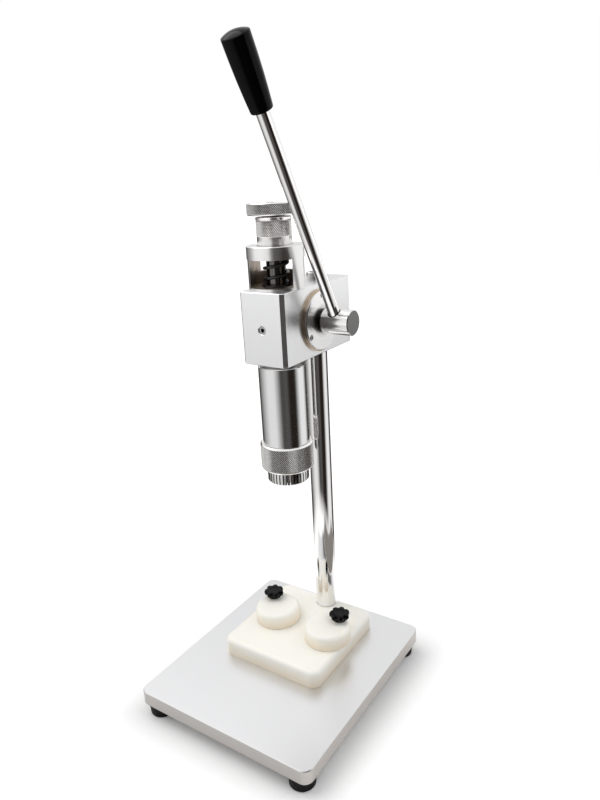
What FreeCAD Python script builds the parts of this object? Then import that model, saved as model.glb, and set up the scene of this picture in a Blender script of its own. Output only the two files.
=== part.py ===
"""Manual crimping press for perfume bottles, modelled as the pieces it comes apart into.

Millimetres, +Z up, +X to the lever's side, the operator stands at -Y.
The origin is on the floor, under the middle of the base plate.
"""
import FreeCAD, Part
import Sketcher
import math
import os
import re

Vector = FreeCAD.Vector
Rotation = FreeCAD.Rotation

doc = FreeCAD.newDocument("crimping_press")
sheet = doc.addObject("Spreadsheet::Sheet", "Sizes")

SIZES = {
    # base and feet
    "base_width": 220,
    "base_length": 250,
    "base_thick": 15.5,
    "base_corner": 10,
    "base_bevel": 0.8,
    "foot_height": 15,
    "foot_dia": 30,
    "foot_tip_dia": 27,
    "foot_rib_height": 3,
    "foot_inset_side": 17,
    "foot_inset_end": 15.5,
    "foot_recess_dia": 11,
    "foot_recess_depth": 7,
    "foot_screw_dia": 5,
    "foot_screw_reach": 10,
    "foot_screw_head_dia": 9.5,
    "foot_screw_head": 4,
    # column
    "column_dia": 25,
    "column_back": 92.5,
    "column_socket": 6,
    "column_bolt_dia": 8,
    "column_bolt_reach": 24,
    "column_bolt_head_dia": 13,
    "column_bolt_head": 8,
    "column_washer_dia": 17,
    "column_washer_thick": 1.6,
    # head block
    "head_above_base": 350,
    "head_width": 53,
    "head_depth": 129.8,
    "head_height": 73,
    "head_bevel": 3.6,
    "head_edge": 0.6,
    "head_web": 10,
    "spindle_back": 27.2,
    "spindle_inset": 30.2,
    "top_screw_dia": 8,
    "top_screw_reach": 25,
    "top_screw_head_dia": 13,
    "top_screw_head": 7,
    "grub_dia": 8,
    "grub_sink": 1,
    "grub_mouth": 0.7,
    "hex_key": 4,
    "dog_dia": 5,
    "dog_length": 3.2,
    # nest plate, discs and star knobs
    "nest_left": 68.8,
    "nest_right": 59.4,
    "nest_front": 28.6,
    "nest_back": 102,
    "nest_thick": 20,
    "nest_corner": 11,
    "nest_round": 5,
    "nest_screw_dia": 5,
    "nest_screw_reach": 14,
    "nest_screw_head_dia": 8.5,
    "nest_screw_head": 5,
    "nest_screw_half_pitch": 42,
    "nest_screw_front": 14,
    "nest_screw_rear": 84,
    "stud_dia": 6,
    "stud_seat": 12,
    "stud_half_pitch": 46.5,
    "stud_shift": -1.3,
    "stud_back": 48,
    "disc_dia": 53,
    "disc_thick": 17,
    "disc_round": 5,
    "disc_throw": 16.8,
    "disc_lift": 0.3,
    "left_disc_turn": -41,
    "right_disc_turn": 242,
    "washer_dia": 16,
    "washer_thick": 1,
    "star_dia": 24,
    "star_thick": 6.5,
    "star_notch_dia": 6,
    "star_notch_out": 0.8,
    "star_lobes": 7,
    "star_bevel": 1.2,
    "star_hub_dia": 13,
    "star_hub": 2.5,
    "insert_dia": 9,
    "insert_length": 7,
    # rack and pinion
    "tooth_module": 1.5,
    "tooth_count": 20,
    "tooth_backlash": 0.16,
    "gear_face": 20,
    "rack_offset": 17.8,
    "rack_teeth": 10,
    "rack_below": 2,
    "stroke": 28,
    "stop_gap": 0.3,
    # lever shaft and its bearings
    "shaft_level": 36,
    "hub_dia": 26,
    "hub_gap": 3.8,
    "shaft_dia": 24,
    "shaft_reach": 67,
    "neck_dia": 16,
    "bush_wall": 3,
    "blind_bush_length": 12,
    "blind_wall": 3.5,
    "chamber_gap": 1,
    "bush_start": 16.3,
    "flange_dia": 64,
    "flange_thick": 2.5,
    "cover_dia": 61.5,
    "cover_thick": 2.5,
    "cover_screw_pcd": 53,
    "cover_screw_dia": 3,
    "cover_screw_head_dia": 5.5,
    "cover_screw_head": 2.4,
    "cover_screw_sink": 1.8,
    "cover_screw_reach": 7.4,
    "cover_screw_run_out": 0.6,
    "key_width": 5,
    "key_height": 5,
    "key_length": 16,
    "circlip_dia": 22,
    "circlip_thick": 1,
    "lever_out": 48.4,
    "lever_lean": 28.8,
    "rod_dia": 12,
    "rod_root": 8.5,
    "rod_length": 266,
    "rod_in_grip": 37,
    "grip_length": 61.5,
    "grip_dia": 23.8,
    "grip_waist_dia": 22.6,
    "grip_mouth_dia": 19.5,
    "grip_crown": 3,
    "grip_edge": 1.2,
    "grip_dome": 9,
    "lock_screw_dia": 5,
    # spindle: quill, sleeve, collet, nut, presser and draw rod
    "quill_dia": 44,
    "quill_bore": 30,
    "quill_guide": 60,
    "slide_gap": 0.08,
    "thread_gap": 0.05,
    "shaft_gap": 0.05,
    "clear_gap": 0.3,
    "keyway_width": 5.6,
    "keyway_depth": 3.7,
    "sleeve_gap": 4.6,
    "sleeve_dia": 50,
    "sleeve_length": 84.4,
    "sleeve_bevel": 0.8,
    "nut_dia": 56.6,
    "nut_height": 29,
    "nut_thread_dia": 48,
    "nut_thread": 18,
    "nut_mouth_dia": 43.6,
    "nut_bevel": 1.5,
    "collet_dia": 44.6,
    "collet_drop": 15,
    "collet_neck_dia": 42.8,
    "collet_waist_dia": 39,
    "collet_mouth_dia": 24,
    "collet_lip": 8,
    "collet_bore": 30,
    "collet_finger": 44,
    "collet_crown": 16,
    "collet_length": 67,
    "collet_slots": 36,
    "collet_slot": 1,
    "collet_edge": 1.2,
    "draw_rod_dia": 14,
    "presser_dia": 21,
    "presser_height": 16,
    "presser_dimple_dia": 10,
    "presser_dimple": 6,
    # spring cage, spring, cup and stop knob
    "cage_dia": 57,
    "cage_post_dia": 55.8,
    "cage_height": 42.6,
    "cage_bore": 45.6,
    "cage_floor": 3,
    "cage_ring": 12.6,
    "cage_spigot": 4,
    "cage_window": 43.5,
    "cage_rear_sill": 15.5,
    "cage_turn": 18.5,
    "quill_rest_gap": 0.4,
    "spring_dia": 26.6,
    "spring_wire": 3.2,
    "spring_guide_dia": 19.4,
    "spring_turns": 6,
    "spring_closed": 0.5,
    "seat_thick": 1.5,
    "seat_dia": 30,
    "cup_dia": 34.8,
    "cup_skirt_dia": 34.2,
    "cup_plain": 16,
    "cup_bore": 28,
    "cup_skirt": 8,
    "cup_rise": 26.4,
    "cup_crown": 4,
    "cup_groove": 0.4,
    "knob_dia": 51,
    "knob_height": 11.6,
    "knob_bevel": 1,
    "knob_recess_dia": 44,
    "knob_recess": 0.6,
    "spacer_dia": 22,
}

for row, (name, number) in enumerate(SIZES.items(), start=1):
    sheet.set(f"A{row}", name)
    sheet.set(f"B{row}", str(number))
    sheet.setAlias(f"B{row}", name)
doc.recompute()

NAMES = re.compile(r"\b(" + "|".join(SIZES) + r")\b")


def bound(words):
    """Write an expression on the sheet's names as the document's objects read it."""
    return NAMES.sub(r"Sizes.\1", words)


def value(words):
    """Work out an expression on the sheet's names as a number."""
    return float(sheet.evalExpression(bound(words)))


# Levels and places that several pieces share
BASE_TOP = "(foot_height + base_thick)"
NEST_TOP = f"({BASE_TOP} + nest_thick)"
DISC_TOP = f"({NEST_TOP} + disc_lift + disc_thick)"
HEAD_BOTTOM = f"({BASE_TOP} + head_above_base)"
HEAD_TOP = f"({HEAD_BOTTOM} + head_height)"
SHAFT_LEVEL = f"({HEAD_BOTTOM} + shaft_level)"
HEAD_FRONT = "(spindle_back - spindle_inset)"
CAGE_TOP = f"({HEAD_TOP} + cage_height)"
PITCH_RADIUS = "(tooth_module * tooth_count / 2)"
GEAR_RADIUS = f"({PITCH_RADIUS} + tooth_module)"
PINION_INSET = f"(rack_offset + {PITCH_RADIUS})"
PINION_BACK = f"(spindle_back + {PINION_INSET})"
CHAMBER_RADIUS = f"({GEAR_RADIUS} + chamber_gap)"
QUILL_TOP = f"({HEAD_TOP} - cage_spigot - quill_rest_gap)"
SLEEVE_TOP = f"({HEAD_BOTTOM} - sleeve_gap)"
SLEEVE_SHOULDER = f"({SLEEVE_TOP} - sleeve_length)"
NUT_TOP = f"({SLEEVE_SHOULDER} - clear_gap)"
NUT_BOTTOM = f"({NUT_TOP} - nut_height)"
COLLET_BOTTOM = f"({NUT_BOTTOM} - collet_drop)"
COLLET_TOP = f"({COLLET_BOTTOM} + collet_length)"
PRESSER_TOP = f"({COLLET_TOP} - collet_crown - 2 * clear_gap)"
PRESSER_BOTTOM = f"({PRESSER_TOP} - presser_height)"
CUP_BOTTOM = f"({CAGE_TOP} - cup_skirt)"
CUP_TOP = f"({CAGE_TOP} + cup_rise)"
KNOB_BOTTOM = f"({CAGE_TOP} + stroke + stop_gap)"
KNOB_TOP = f"({KNOB_BOTTOM} + knob_height)"
HALF_HEAD = "(head_width / 2)"
BLIND_BUSH_LEFT = f"({HALF_HEAD} - blind_wall)"
BLIND_BUSH_RIGHT = f"({BLIND_BUSH_LEFT} - blind_bush_length)"
BLIND_BUSH_RADIUS = "(neck_dia / 2 + bush_wall)"
TOOTH_PITCH = f"({math.pi!r} * tooth_module)"
FOOT_ACROSS = "(base_width / 2 - foot_inset_side)"
FOOT_BACK = "(base_length / 2 - foot_inset_end)"
NEST_SCREW_ROWS = ("-nest_screw_front", "nest_screw_rear")
GRIP_START = "(rod_length - rod_root - rod_in_grip)"
STUD_PLACES = {"left": "(stud_shift - stud_half_pitch)", "right": "(stud_shift + stud_half_pitch)"}


def new_body(label):
    """Start a sub-part of its own name."""
    body = doc.addObject("PartDesign::Body", label)
    body.Label = label
    return body


def origin_feature(body, role):
    """Find one of a body's own origin planes or axes."""
    return next(feature for feature in body.Origin.OriginFeatures if feature.Role == role)


def new_sketch(body, role, offset="0"):
    """Attach an empty sketch to one of the body's own origin planes."""
    sketch = body.newObject("Sketcher::SketchObject", body.Label + "_sketch")
    sketch.AttachmentSupport = [(origin_feature(body, role), "")]
    sketch.MapMode = "FlatFace"
    if offset != "0":
        sketch.setExpression("AttachmentOffset.Base.z", bound(offset))
    return sketch


def pin_point(sketch, curve, end, across, along):
    """Hold one point of a curve at two bound distances from the sketch's origin."""
    for kind, words in (("DistanceX", across), ("DistanceY", along)):
        index = sketch.addConstraint(Sketcher.Constraint(kind, -1, 1, curve, end, value(words)))
        sketch.setExpression(f"Constraints[{index}]", bound(words))


def draw_outline(sketch, corners):
    """Draw a closed outline of straight sides through corners given as expressions."""
    places = [Vector(value(across), value(along), 0) for across, along in corners]
    count = len(places)
    for index in range(count):
        line = Part.LineSegment(places[index], places[(index + 1) % count])
        sketch.addGeometry(line, False)
    for index in range(count):
        sketch.addConstraint(Sketcher.Constraint("Coincident", index, 2, (index + 1) % count, 1))
    for index, (across, along) in enumerate(corners):
        pin_point(sketch, index, 1, across, along)


def draw_circle(sketch, across, along, radius):
    """Draw a circle whose centre and radius are bound."""
    circle = Part.Circle(Vector(value(across), value(along), 0), Vector(0, 0, 1), value(radius))
    curve = sketch.addGeometry(circle, False)
    pin_point(sketch, curve, 3, across, along)
    index = sketch.addConstraint(Sketcher.Constraint("Radius", curve, value(radius)))
    sketch.setExpression(f"Constraints[{index}]", bound(radius))


def rectangle(low_across, low_along, high_across, high_along):
    """List the four corners of a rectangle."""
    return [(low_across, low_along), (high_across, low_along),
            (high_across, high_along), (low_across, high_along)]


def turned(label, profile):
    """Turn a closed profile of (radius, height) corners about the body's Z axis."""
    body = new_body(label)
    sketch = new_sketch(body, "XZ_Plane")
    draw_outline(sketch, profile)
    turn = body.newObject("PartDesign::Revolution", label + "_turn")
    turn.Profile = sketch
    turn.ReferenceAxis = (sketch, ["V_Axis"])
    turn.Angle = 360
    return body


def turned_groove(body, profile):
    """Turn a closed profile away from a body, about its Z axis."""
    sketch = new_sketch(body, "XZ_Plane")
    draw_outline(sketch, profile)
    groove = body.newObject("PartDesign::Groove", body.Label + "_groove")
    groove.Profile = sketch
    groove.ReferenceAxis = (sketch, ["V_Axis"])
    groove.Angle = 360
    return groove


def padded(body, draw, height, role="XY_Plane", offset="0"):
    """Pad what draw() puts on a sketch."""
    sketch = new_sketch(body, role, offset)
    draw(sketch)
    pad = body.newObject("PartDesign::Pad", body.Label + "_pad")
    pad.Profile = sketch
    pad.setExpression("Length", bound(height))
    return pad


def cut(body, draw, depth, role="XY_Plane", offset="0", flipped=False):
    """Pocket what draw() puts on a sketch, and stop if the pocket removes nothing.

    The cut runs against the plane's normal: down from an XY plane, back (+Y) from an XZ plane
    and left (-X) from a YZ plane. flipped turns it round. depth "through" cuts both ways.
    """
    doc.recompute()
    before = body.Shape.Volume
    sketch = new_sketch(body, role, offset)
    draw(sketch)
    pocket = body.newObject("PartDesign::Pocket", body.Label + "_pocket")
    pocket.Profile = sketch
    if depth == "through":
        pocket.Type = "ThroughAll"
        pocket.Midplane = True
    else:
        pocket.setExpression("Length", bound(depth))
        pocket.Reversed = flipped
    doc.recompute()
    if not body.Shape.Volume < before - 1e-6:
        raise RuntimeError(f"a pocket of {body.Label} removes nothing")
    return pocket


def around(body, feature, count):
    """Repeat a feature evenly around the body's Z axis."""
    pattern = body.newObject("PartDesign::PolarPattern", body.Label + "_ring")
    pattern.Originals = [feature]
    pattern.Axis = (origin_feature(body, "Z_Axis"), [""])
    pattern.Angle = 360
    pattern.setExpression("Occurrences", bound(count))
    body.Tip = pattern
    return pattern


def dress(body, kind, size, wanted):
    """Fillet or chamfer the edges of a body that wanted() picks."""
    doc.recompute()
    base = body.Tip
    edges = [f"Edge{index}" for index, edge in enumerate(base.Shape.Edges, start=1) if wanted(edge)]
    if not edges:
        raise RuntimeError(f"{body.Label} has no such edge")
    feature = body.newObject("PartDesign::" + kind, body.Label + "_" + kind.lower())
    feature.Base = (base, edges)
    feature.setExpression("Radius" if kind == "Fillet" else "Size", bound(size))
    return feature


def upright(edge):
    """Say whether an edge is a straight vertical one."""
    if edge.Curve.TypeId != "Part::GeomLine":
        return False
    return abs(edge.Vertexes[0].Z - edge.Vertexes[-1].Z) > 0.999 * edge.Length


def at_level(height):
    """Pick the edges that lie at one height."""
    level = value(height)
    return lambda edge: edge.BoundBox.ZLength < 1e-6 and abs(edge.BoundBox.ZMin - level) < 1e-6


def place(piece, across="0", back="0", height="0", rotation=None):
    """Give a piece its bound place, and its rotation."""
    if rotation is not None:
        piece.Placement = FreeCAD.Placement(Vector(0, 0, 0), rotation)
    for letter, words in (("x", across), ("y", back), ("z", height)):
        if words != "0":
            piece.setExpression(f"Placement.Base.{letter}", bound(words))
    return piece


def hexagon(across_flats):
    """List a regular hexagon's corners for a key socket."""
    reach = f"({across_flats}) / {math.sqrt(3)!r}"
    corners = []
    for index in range(6):
        angle = math.radians(60 * index)
        corners.append((f"{reach} * {math.cos(angle)!r}", f"{reach} * {math.sin(angle)!r}"))
    return corners


def grouped(label, pieces):
    """Keep identical pieces together as one sub-part of separate solids."""
    group = doc.addObject("Part::Compound", label)
    group.Links = pieces
    return group


def at_corners(piece):
    """List a piece and its mirror images about X = 0, Y = 0 and both."""
    copies = [piece]
    for normal in (Vector(1, 0, 0), Vector(0, 1, 0)):
        for source in list(copies):
            image = doc.addObject("Part::Mirroring", piece.Label + "_image")
            image.Source = source
            image.Normal = normal
            copies.append(image)
    return copies


def cap_screw(label, shank_dia, reach, head_dia, head):
    """Socket head screw: head upwards, the underside of the head at Z = 0."""
    body = turned(label, [("0", f"-({reach})"), (f"({shank_dia}) / 2", f"-({reach})"),
                          (f"({shank_dia}) / 2", "0"), (f"({head_dia}) / 2", "0"),
                          (f"({head_dia}) / 2", f"({head}) - 0.4"), (f"({head_dia}) / 2 - 0.4", head),
                          ("0", head)])
    cut(body, lambda sketch: draw_outline(sketch, hexagon(f"({shank_dia}) * 0.8")),
        f"({head}) * 0.55", offset=head)
    return body


ALONG_X = Rotation(Vector(0, 1, 0), 90)
HEAD_DOWN = Rotation(Vector(1, 0, 0), 180)
TO_FRONT = Rotation(Vector(1, 0, 0), 90)
TO_BACK = Rotation(Vector(1, 0, 0), -90)
LEAN = Rotation(Vector(1, 0, 0), value("lever_lean"))


# Base, feet and column

def make_base():
    """Plate with a socket for the column, its bolt below, and holes for feet, studs and nest."""
    body = new_body("base_plate")
    half_width = "base_width / 2"
    half_length = "base_length / 2"
    corners = rectangle(f"-{half_width}", f"-{half_length}", half_width, half_length)
    padded(body, lambda sketch: draw_outline(sketch, corners), "base_thick")
    dress(body, "Fillet", "base_corner", upright)
    cut(body, lambda sketch: draw_circle(sketch, "0", "column_back", "column_dia / 2 + thread_gap"),
        "column_socket", offset="base_thick")
    cut(body, lambda sketch: draw_circle(sketch, "0", "column_back", "column_bolt_dia / 2 + clear_gap"),
        "through")
    cut(body, lambda sketch: draw_circle(sketch, "0", "column_back", "column_washer_dia / 2 + 2 * clear_gap"),
        "base_thick - column_socket - 3", flipped=True)

    def foot_holes(sketch):
        for side in ("-", ""):
            for end in ("-", ""):
                draw_circle(sketch, f"{side}{FOOT_ACROSS}", f"{end}{FOOT_BACK}",
                            "foot_screw_dia / 2 + thread_gap")

    def nest_holes(radius):
        def draw(sketch):
            for side in ("-", ""):
                for end in NEST_SCREW_ROWS:
                    draw_circle(sketch, f"{side}nest_screw_half_pitch", end, radius)
        return draw

    def stud_holes(sketch):
        for across in STUD_PLACES.values():
            draw_circle(sketch, across, "stud_back", "stud_dia / 2 + thread_gap")

    cut(body, foot_holes, "foot_screw_reach + 1", flipped=True)
    cut(body, nest_holes("nest_screw_dia / 2 + clear_gap"), "through")
    cut(body, nest_holes("nest_screw_head_dia / 2 + clear_gap"), "nest_screw_head + 1", flipped=True)
    cut(body, stud_holes, "stud_seat + 1", offset="base_thick")
    level = value("base_thick")
    rim = value("base_length") / 2 - value("base_corner")
    edge_far = value("base_width") / 2 - value("base_corner")

    def outer_top(edge):
        middle = edge.valueAt((edge.FirstParameter + edge.LastParameter) / 2)
        outside = abs(middle.x) > edge_far or abs(middle.y) > rim
        return at_level("base_thick")(edge) and outside and middle.z > level - 1e-6

    dress(body, "Chamfer", "base_bevel", outer_top)
    return place(body, height="foot_height")


def make_feet():
    """Tapered rubber foot with a moulded rib and a recess for its screw, four times."""
    rib = "(foot_height - foot_rib_height)"
    foot = turned("foot", [("foot_screw_dia / 2 + clear_gap", "foot_recess_depth"),
                           ("foot_recess_dia / 2", "foot_recess_depth"), ("foot_recess_dia / 2", "0"),
                           ("foot_tip_dia / 2 - 1", "0"), ("foot_tip_dia / 2", "1"),
                           ("foot_dia / 2 - 1", f"{rib} - 1"), ("foot_dia / 2", rib),
                           ("foot_dia / 2", "foot_height - 0.6"), ("foot_dia / 2 - 0.6", "foot_height"),
                           ("foot_screw_dia / 2 + clear_gap", "foot_height")])
    place(foot, FOOT_ACROSS, FOOT_BACK)
    grouped("rubber_feet", at_corners(foot))
    screw = cap_screw("foot_screw", "foot_screw_dia",
                      "foot_height - foot_recess_depth + foot_screw_reach",
                      "foot_screw_head_dia", "foot_screw_head")
    place(screw, FOOT_ACROSS, FOOT_BACK, "foot_recess_depth", HEAD_DOWN)
    grouped("foot_screws", at_corners(screw))


def make_column():
    """Round bar, tapped at both ends, with its bolt and washer under the base."""
    radius = "column_dia / 2"
    length = "(column_socket + head_above_base + head_height - head_web)"
    bar = turned("column", [("0", "0"), (f"{radius} - 1", "0"), (radius, "1"), (radius, f"{length} - 1"),
                            (f"{radius} - 1", length), ("0", length)])
    cut(bar, lambda sketch: draw_circle(sketch, "0", "0", "column_bolt_dia / 2 + thread_gap"),
        "column_bolt_reach + 2", flipped=True)
    cut(bar, lambda sketch: draw_circle(sketch, "0", "0", "top_screw_dia / 2 + thread_gap"),
        "top_screw_reach - head_web + 2", offset=length)
    place(bar, "0", "column_back", f"{BASE_TOP} - column_socket")
    ledge = "(foot_height + base_thick - column_socket - 3)"
    washer = turned("column_washer", rectangle("column_bolt_dia / 2 + clear_gap", "0",
                                               "column_washer_dia / 2", "column_washer_thick"))
    place(washer, "0", "column_back", f"{ledge} - column_washer_thick")
    bolt = cap_screw("column_bolt", "column_bolt_dia", "column_bolt_reach", "column_bolt_head_dia",
                     "column_bolt_head")
    place(bolt, "0", "column_back", f"{ledge} - column_washer_thick", HEAD_DOWN)


# Nest plate with its two eccentric discs

def make_nest():
    """Plastic plate, notched round the column, tapped below and bored for the two studs."""
    body = new_body("nest_plate")
    corners = rectangle("-nest_left", "-nest_front", "nest_right", "nest_back")
    padded(body, lambda sketch: draw_outline(sketch, corners), "nest_thick")
    dress(body, "Fillet", "nest_corner", upright)
    dress(body, "Fillet", "nest_round", at_level("nest_thick"))
    notch = "(column_dia / 2 + clear_gap)"
    cut(body, lambda sketch: draw_circle(sketch, "0", "column_back", notch), "through")
    cut(body, lambda sketch: draw_outline(sketch, rectangle(f"-{notch}", "column_back", notch,
                                                            "nest_back + 1")), "through")

    def stud_holes(sketch):
        for across in STUD_PLACES.values():
            draw_circle(sketch, across, "stud_back", "stud_dia / 2 + clear_gap")

    def pilot_holes(sketch):
        for side in ("-", ""):
            for end in NEST_SCREW_ROWS:
                draw_circle(sketch, f"{side}nest_screw_half_pitch", end, "nest_screw_dia / 2 + thread_gap")

    cut(body, stud_holes, "through")
    cut(body, pilot_holes, "nest_screw_reach", flipped=True)
    place(body, height=BASE_TOP)
    copies = []
    for end in NEST_SCREW_ROWS:
        screw = cap_screw("nest_screw", "nest_screw_dia",
                          "nest_screw_reach + base_thick - nest_screw_head - 2",
                          "nest_screw_head_dia", "nest_screw_head")
        place(screw, "nest_screw_half_pitch", end, "foot_height + nest_screw_head + 1", HEAD_DOWN)
        image = doc.addObject("Part::Mirroring", "nest_screw_image")
        image.Source = screw
        image.Normal = Vector(1, 0, 0)
        copies += [screw, image]
    grouped("nest_screws", copies)


def make_studs():
    """Two studs that stand in the base and carry disc, washer and star knob."""
    reach = "(stud_seat + nest_thick + disc_lift + disc_thick + washer_thick + insert_length)"
    radius = "stud_dia / 2"
    studs = []
    washers = []
    for across in STUD_PLACES.values():
        stud = turned("disc_stud", [("0", "0"), (f"{radius} - 0.6", "0"), (radius, "0.6"),
                                    (radius, f"{reach} - 0.6"), (f"{radius} - 0.6", reach), ("0", reach)])
        studs.append(place(stud, across, "stud_back", f"{BASE_TOP} - stud_seat"))
        washer = turned("disc_washer", rectangle("stud_dia / 2 + clear_gap", "0", "washer_dia / 2",
                                                 "washer_thick"))
        washers.append(place(washer, across, "stud_back", DISC_TOP))
    grouped("disc_studs", studs)
    grouped("disc_washers", washers)


def make_disc(label, across, turn):
    """Round disc bored off centre, so that turning it moves its rim towards the bottle."""
    body = new_body(label)
    padded(body, lambda sketch: draw_circle(sketch, "disc_throw", "0", "disc_dia / 2"), "disc_thick")
    dress(body, "Fillet", "disc_round", at_level("disc_thick"))
    cut(body, lambda sketch: draw_circle(sketch, "0", "0", "stud_dia / 2 + thread_gap"), "through")
    place(body, across, "stud_back", f"{NEST_TOP} + disc_lift",
          Rotation(Vector(0, 0, 1), value(turn)))


def make_star(label, across):
    """Lobed knob on a hub, moulded round a brass insert that runs on the stud."""
    radius = "star_dia / 2"
    top = "(star_hub + star_thick)"
    bore = "insert_dia / 2 + 0.02"
    knob = turned(label, [("0", "insert_length + 0.2"), (bore, "insert_length + 0.2"), (bore, "0"),
                          ("star_hub_dia / 2", "0"), ("star_hub_dia / 2", "star_hub"),
                          (f"{radius} - star_bevel", "star_hub"), (radius, "star_hub + star_bevel"),
                          (radius, f"{top} - star_bevel"), (f"{radius} - star_bevel", top),
                          (f"{radius} * 0.5", top), (f"{radius} * 0.42", f"{top} - 0.6"),
                          ("0", f"{top} - 0.6")])
    notch = cut(knob, lambda sketch: draw_circle(sketch, f"{radius} + star_notch_out", "0",
                                                 "star_notch_dia / 2"), "through")
    around(knob, notch, "star_lobes")
    place(knob, across, "stud_back", f"{DISC_TOP} + washer_thick")
    insert = turned(label + "_insert", rectangle("stud_dia / 2 + thread_gap", "0", "insert_dia / 2",
                                                 "insert_length"))
    place(insert, across, "stud_back", f"{DISC_TOP} + washer_thick")


# Head block and what is screwed to it

def make_head():
    """Block bored for the quill and the column, with the gear chamber across between them."""
    body = new_body("head_block")
    depth = "(head_depth - spindle_inset)"
    corners = rectangle(f"-{HALF_HEAD}", "-spindle_inset", HALF_HEAD, depth)
    padded(body, lambda sketch: draw_outline(sketch, corners), "head_height")
    dress(body, "Chamfer", "head_bevel", upright)
    dress(body, "Chamfer", "head_edge", at_level("head_height"))
    dress(body, "Chamfer", "head_edge", at_level("0"))
    column_place = "(column_back - spindle_back)"
    middle = "shaft_level"
    cut(body, lambda sketch: draw_circle(sketch, "0", "0", "quill_dia / 2 + slide_gap"), "through")
    cut(body, lambda sketch: draw_circle(sketch, "0", column_place, "column_dia / 2 + thread_gap"),
        "head_height - head_web + 0.5", flipped=True)
    cut(body, lambda sketch: draw_circle(sketch, "0", column_place, "top_screw_dia / 2 + clear_gap"),
        "through")
    cut(body, lambda sketch: draw_circle(sketch, PINION_INSET, middle, CHAMBER_RADIUS),
        f"{HALF_HEAD} + {BLIND_BUSH_RIGHT}", "YZ_Plane", HALF_HEAD)
    cut(body, lambda sketch: draw_circle(sketch, PINION_INSET, middle, BLIND_BUSH_RADIUS),
        f"{HALF_HEAD} + {BLIND_BUSH_LEFT}", "YZ_Plane", HALF_HEAD)
    cut(body, lambda sketch: draw_circle(sketch, "0", middle, "grub_dia / 2 + thread_gap"),
        "spindle_inset - quill_dia / 4", "XZ_Plane", "spindle_inset")
    cut(body, lambda sketch: draw_circle(sketch, "0", middle, "grub_dia / 2 + thread_gap"),
        f"{depth} - {column_place}", "XZ_Plane", f"-{depth}", flipped=True)

    def screw_holes(sketch):
        for index in range(3):
            angle = math.radians(90 + 120 * index)
            draw_circle(sketch, f"{PINION_INSET} + cover_screw_pcd / 2 * {math.cos(angle)!r}",
                        f"{middle} + cover_screw_pcd / 2 * {math.sin(angle)!r}",
                        "cover_screw_dia / 2 + thread_gap")

    in_block = "(cover_screw_reach + cover_screw_sink - cover_thick - flange_thick)"
    cut(body, screw_holes, f"{in_block} + cover_screw_run_out", "YZ_Plane", HALF_HEAD)
    hole = value("grub_dia / 2 + thread_gap")
    front = value("-spindle_inset")

    def guide_hole_rim(edge):
        round_edge = edge.Curve.TypeId == "Part::GeomCircle" and abs(edge.Curve.Radius - hole) < 1e-6
        return round_edge and abs(edge.BoundBox.YMax - front) < 1e-6

    dress(body, "Chamfer", "grub_mouth", guide_hole_rim)
    place(body, "0", "spindle_back", HEAD_BOTTOM)


def make_head_screws():
    """Screw in the column's end, dog-point guide screw in front and locking screw behind."""
    top = cap_screw("column_top_screw", "top_screw_dia", "top_screw_reach", "top_screw_head_dia",
                    "top_screw_head")
    place(top, "0", "column_back", HEAD_TOP)
    radius = "grub_dia / 2"
    quill_front = "(spindle_inset - quill_dia / 2)"
    body_length = f"({quill_front} - grub_sink - 0.3)"
    guide = turned("guide_screw", [("0", f"-{body_length} - dog_length"),
                                   ("dog_dia / 2", f"-{body_length} - dog_length"),
                                   ("dog_dia / 2", f"-{body_length}"), (radius, f"-{body_length}"),
                                   (radius, "-0.6"), (f"{radius} - 0.6", "0"), ("0", "0")])
    cut(guide, lambda sketch: draw_outline(sketch, hexagon("hex_key")), "3")
    place(guide, "0", f"{HEAD_FRONT} + grub_sink", SHAFT_LEVEL, TO_FRONT)
    lock_length = ("(spindle_back - spindle_inset + head_depth - grub_sink - column_back"
                   " - column_dia / 2)")
    lock = turned("column_lock_screw", [("0", f"-{lock_length}"), (f"{radius} - 1.2", f"-{lock_length}"),
                                        (radius, f"-{lock_length} + 1.2"), (radius, "-0.6"),
                                        (f"{radius} - 0.6", "0"), ("0", "0")])
    cut(lock, lambda sketch: draw_outline(sketch, hexagon("hex_key")), "4")
    place(lock, "0", f"{HEAD_FRONT} + head_depth - grub_sink", SHAFT_LEVEL, TO_BACK)


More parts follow.
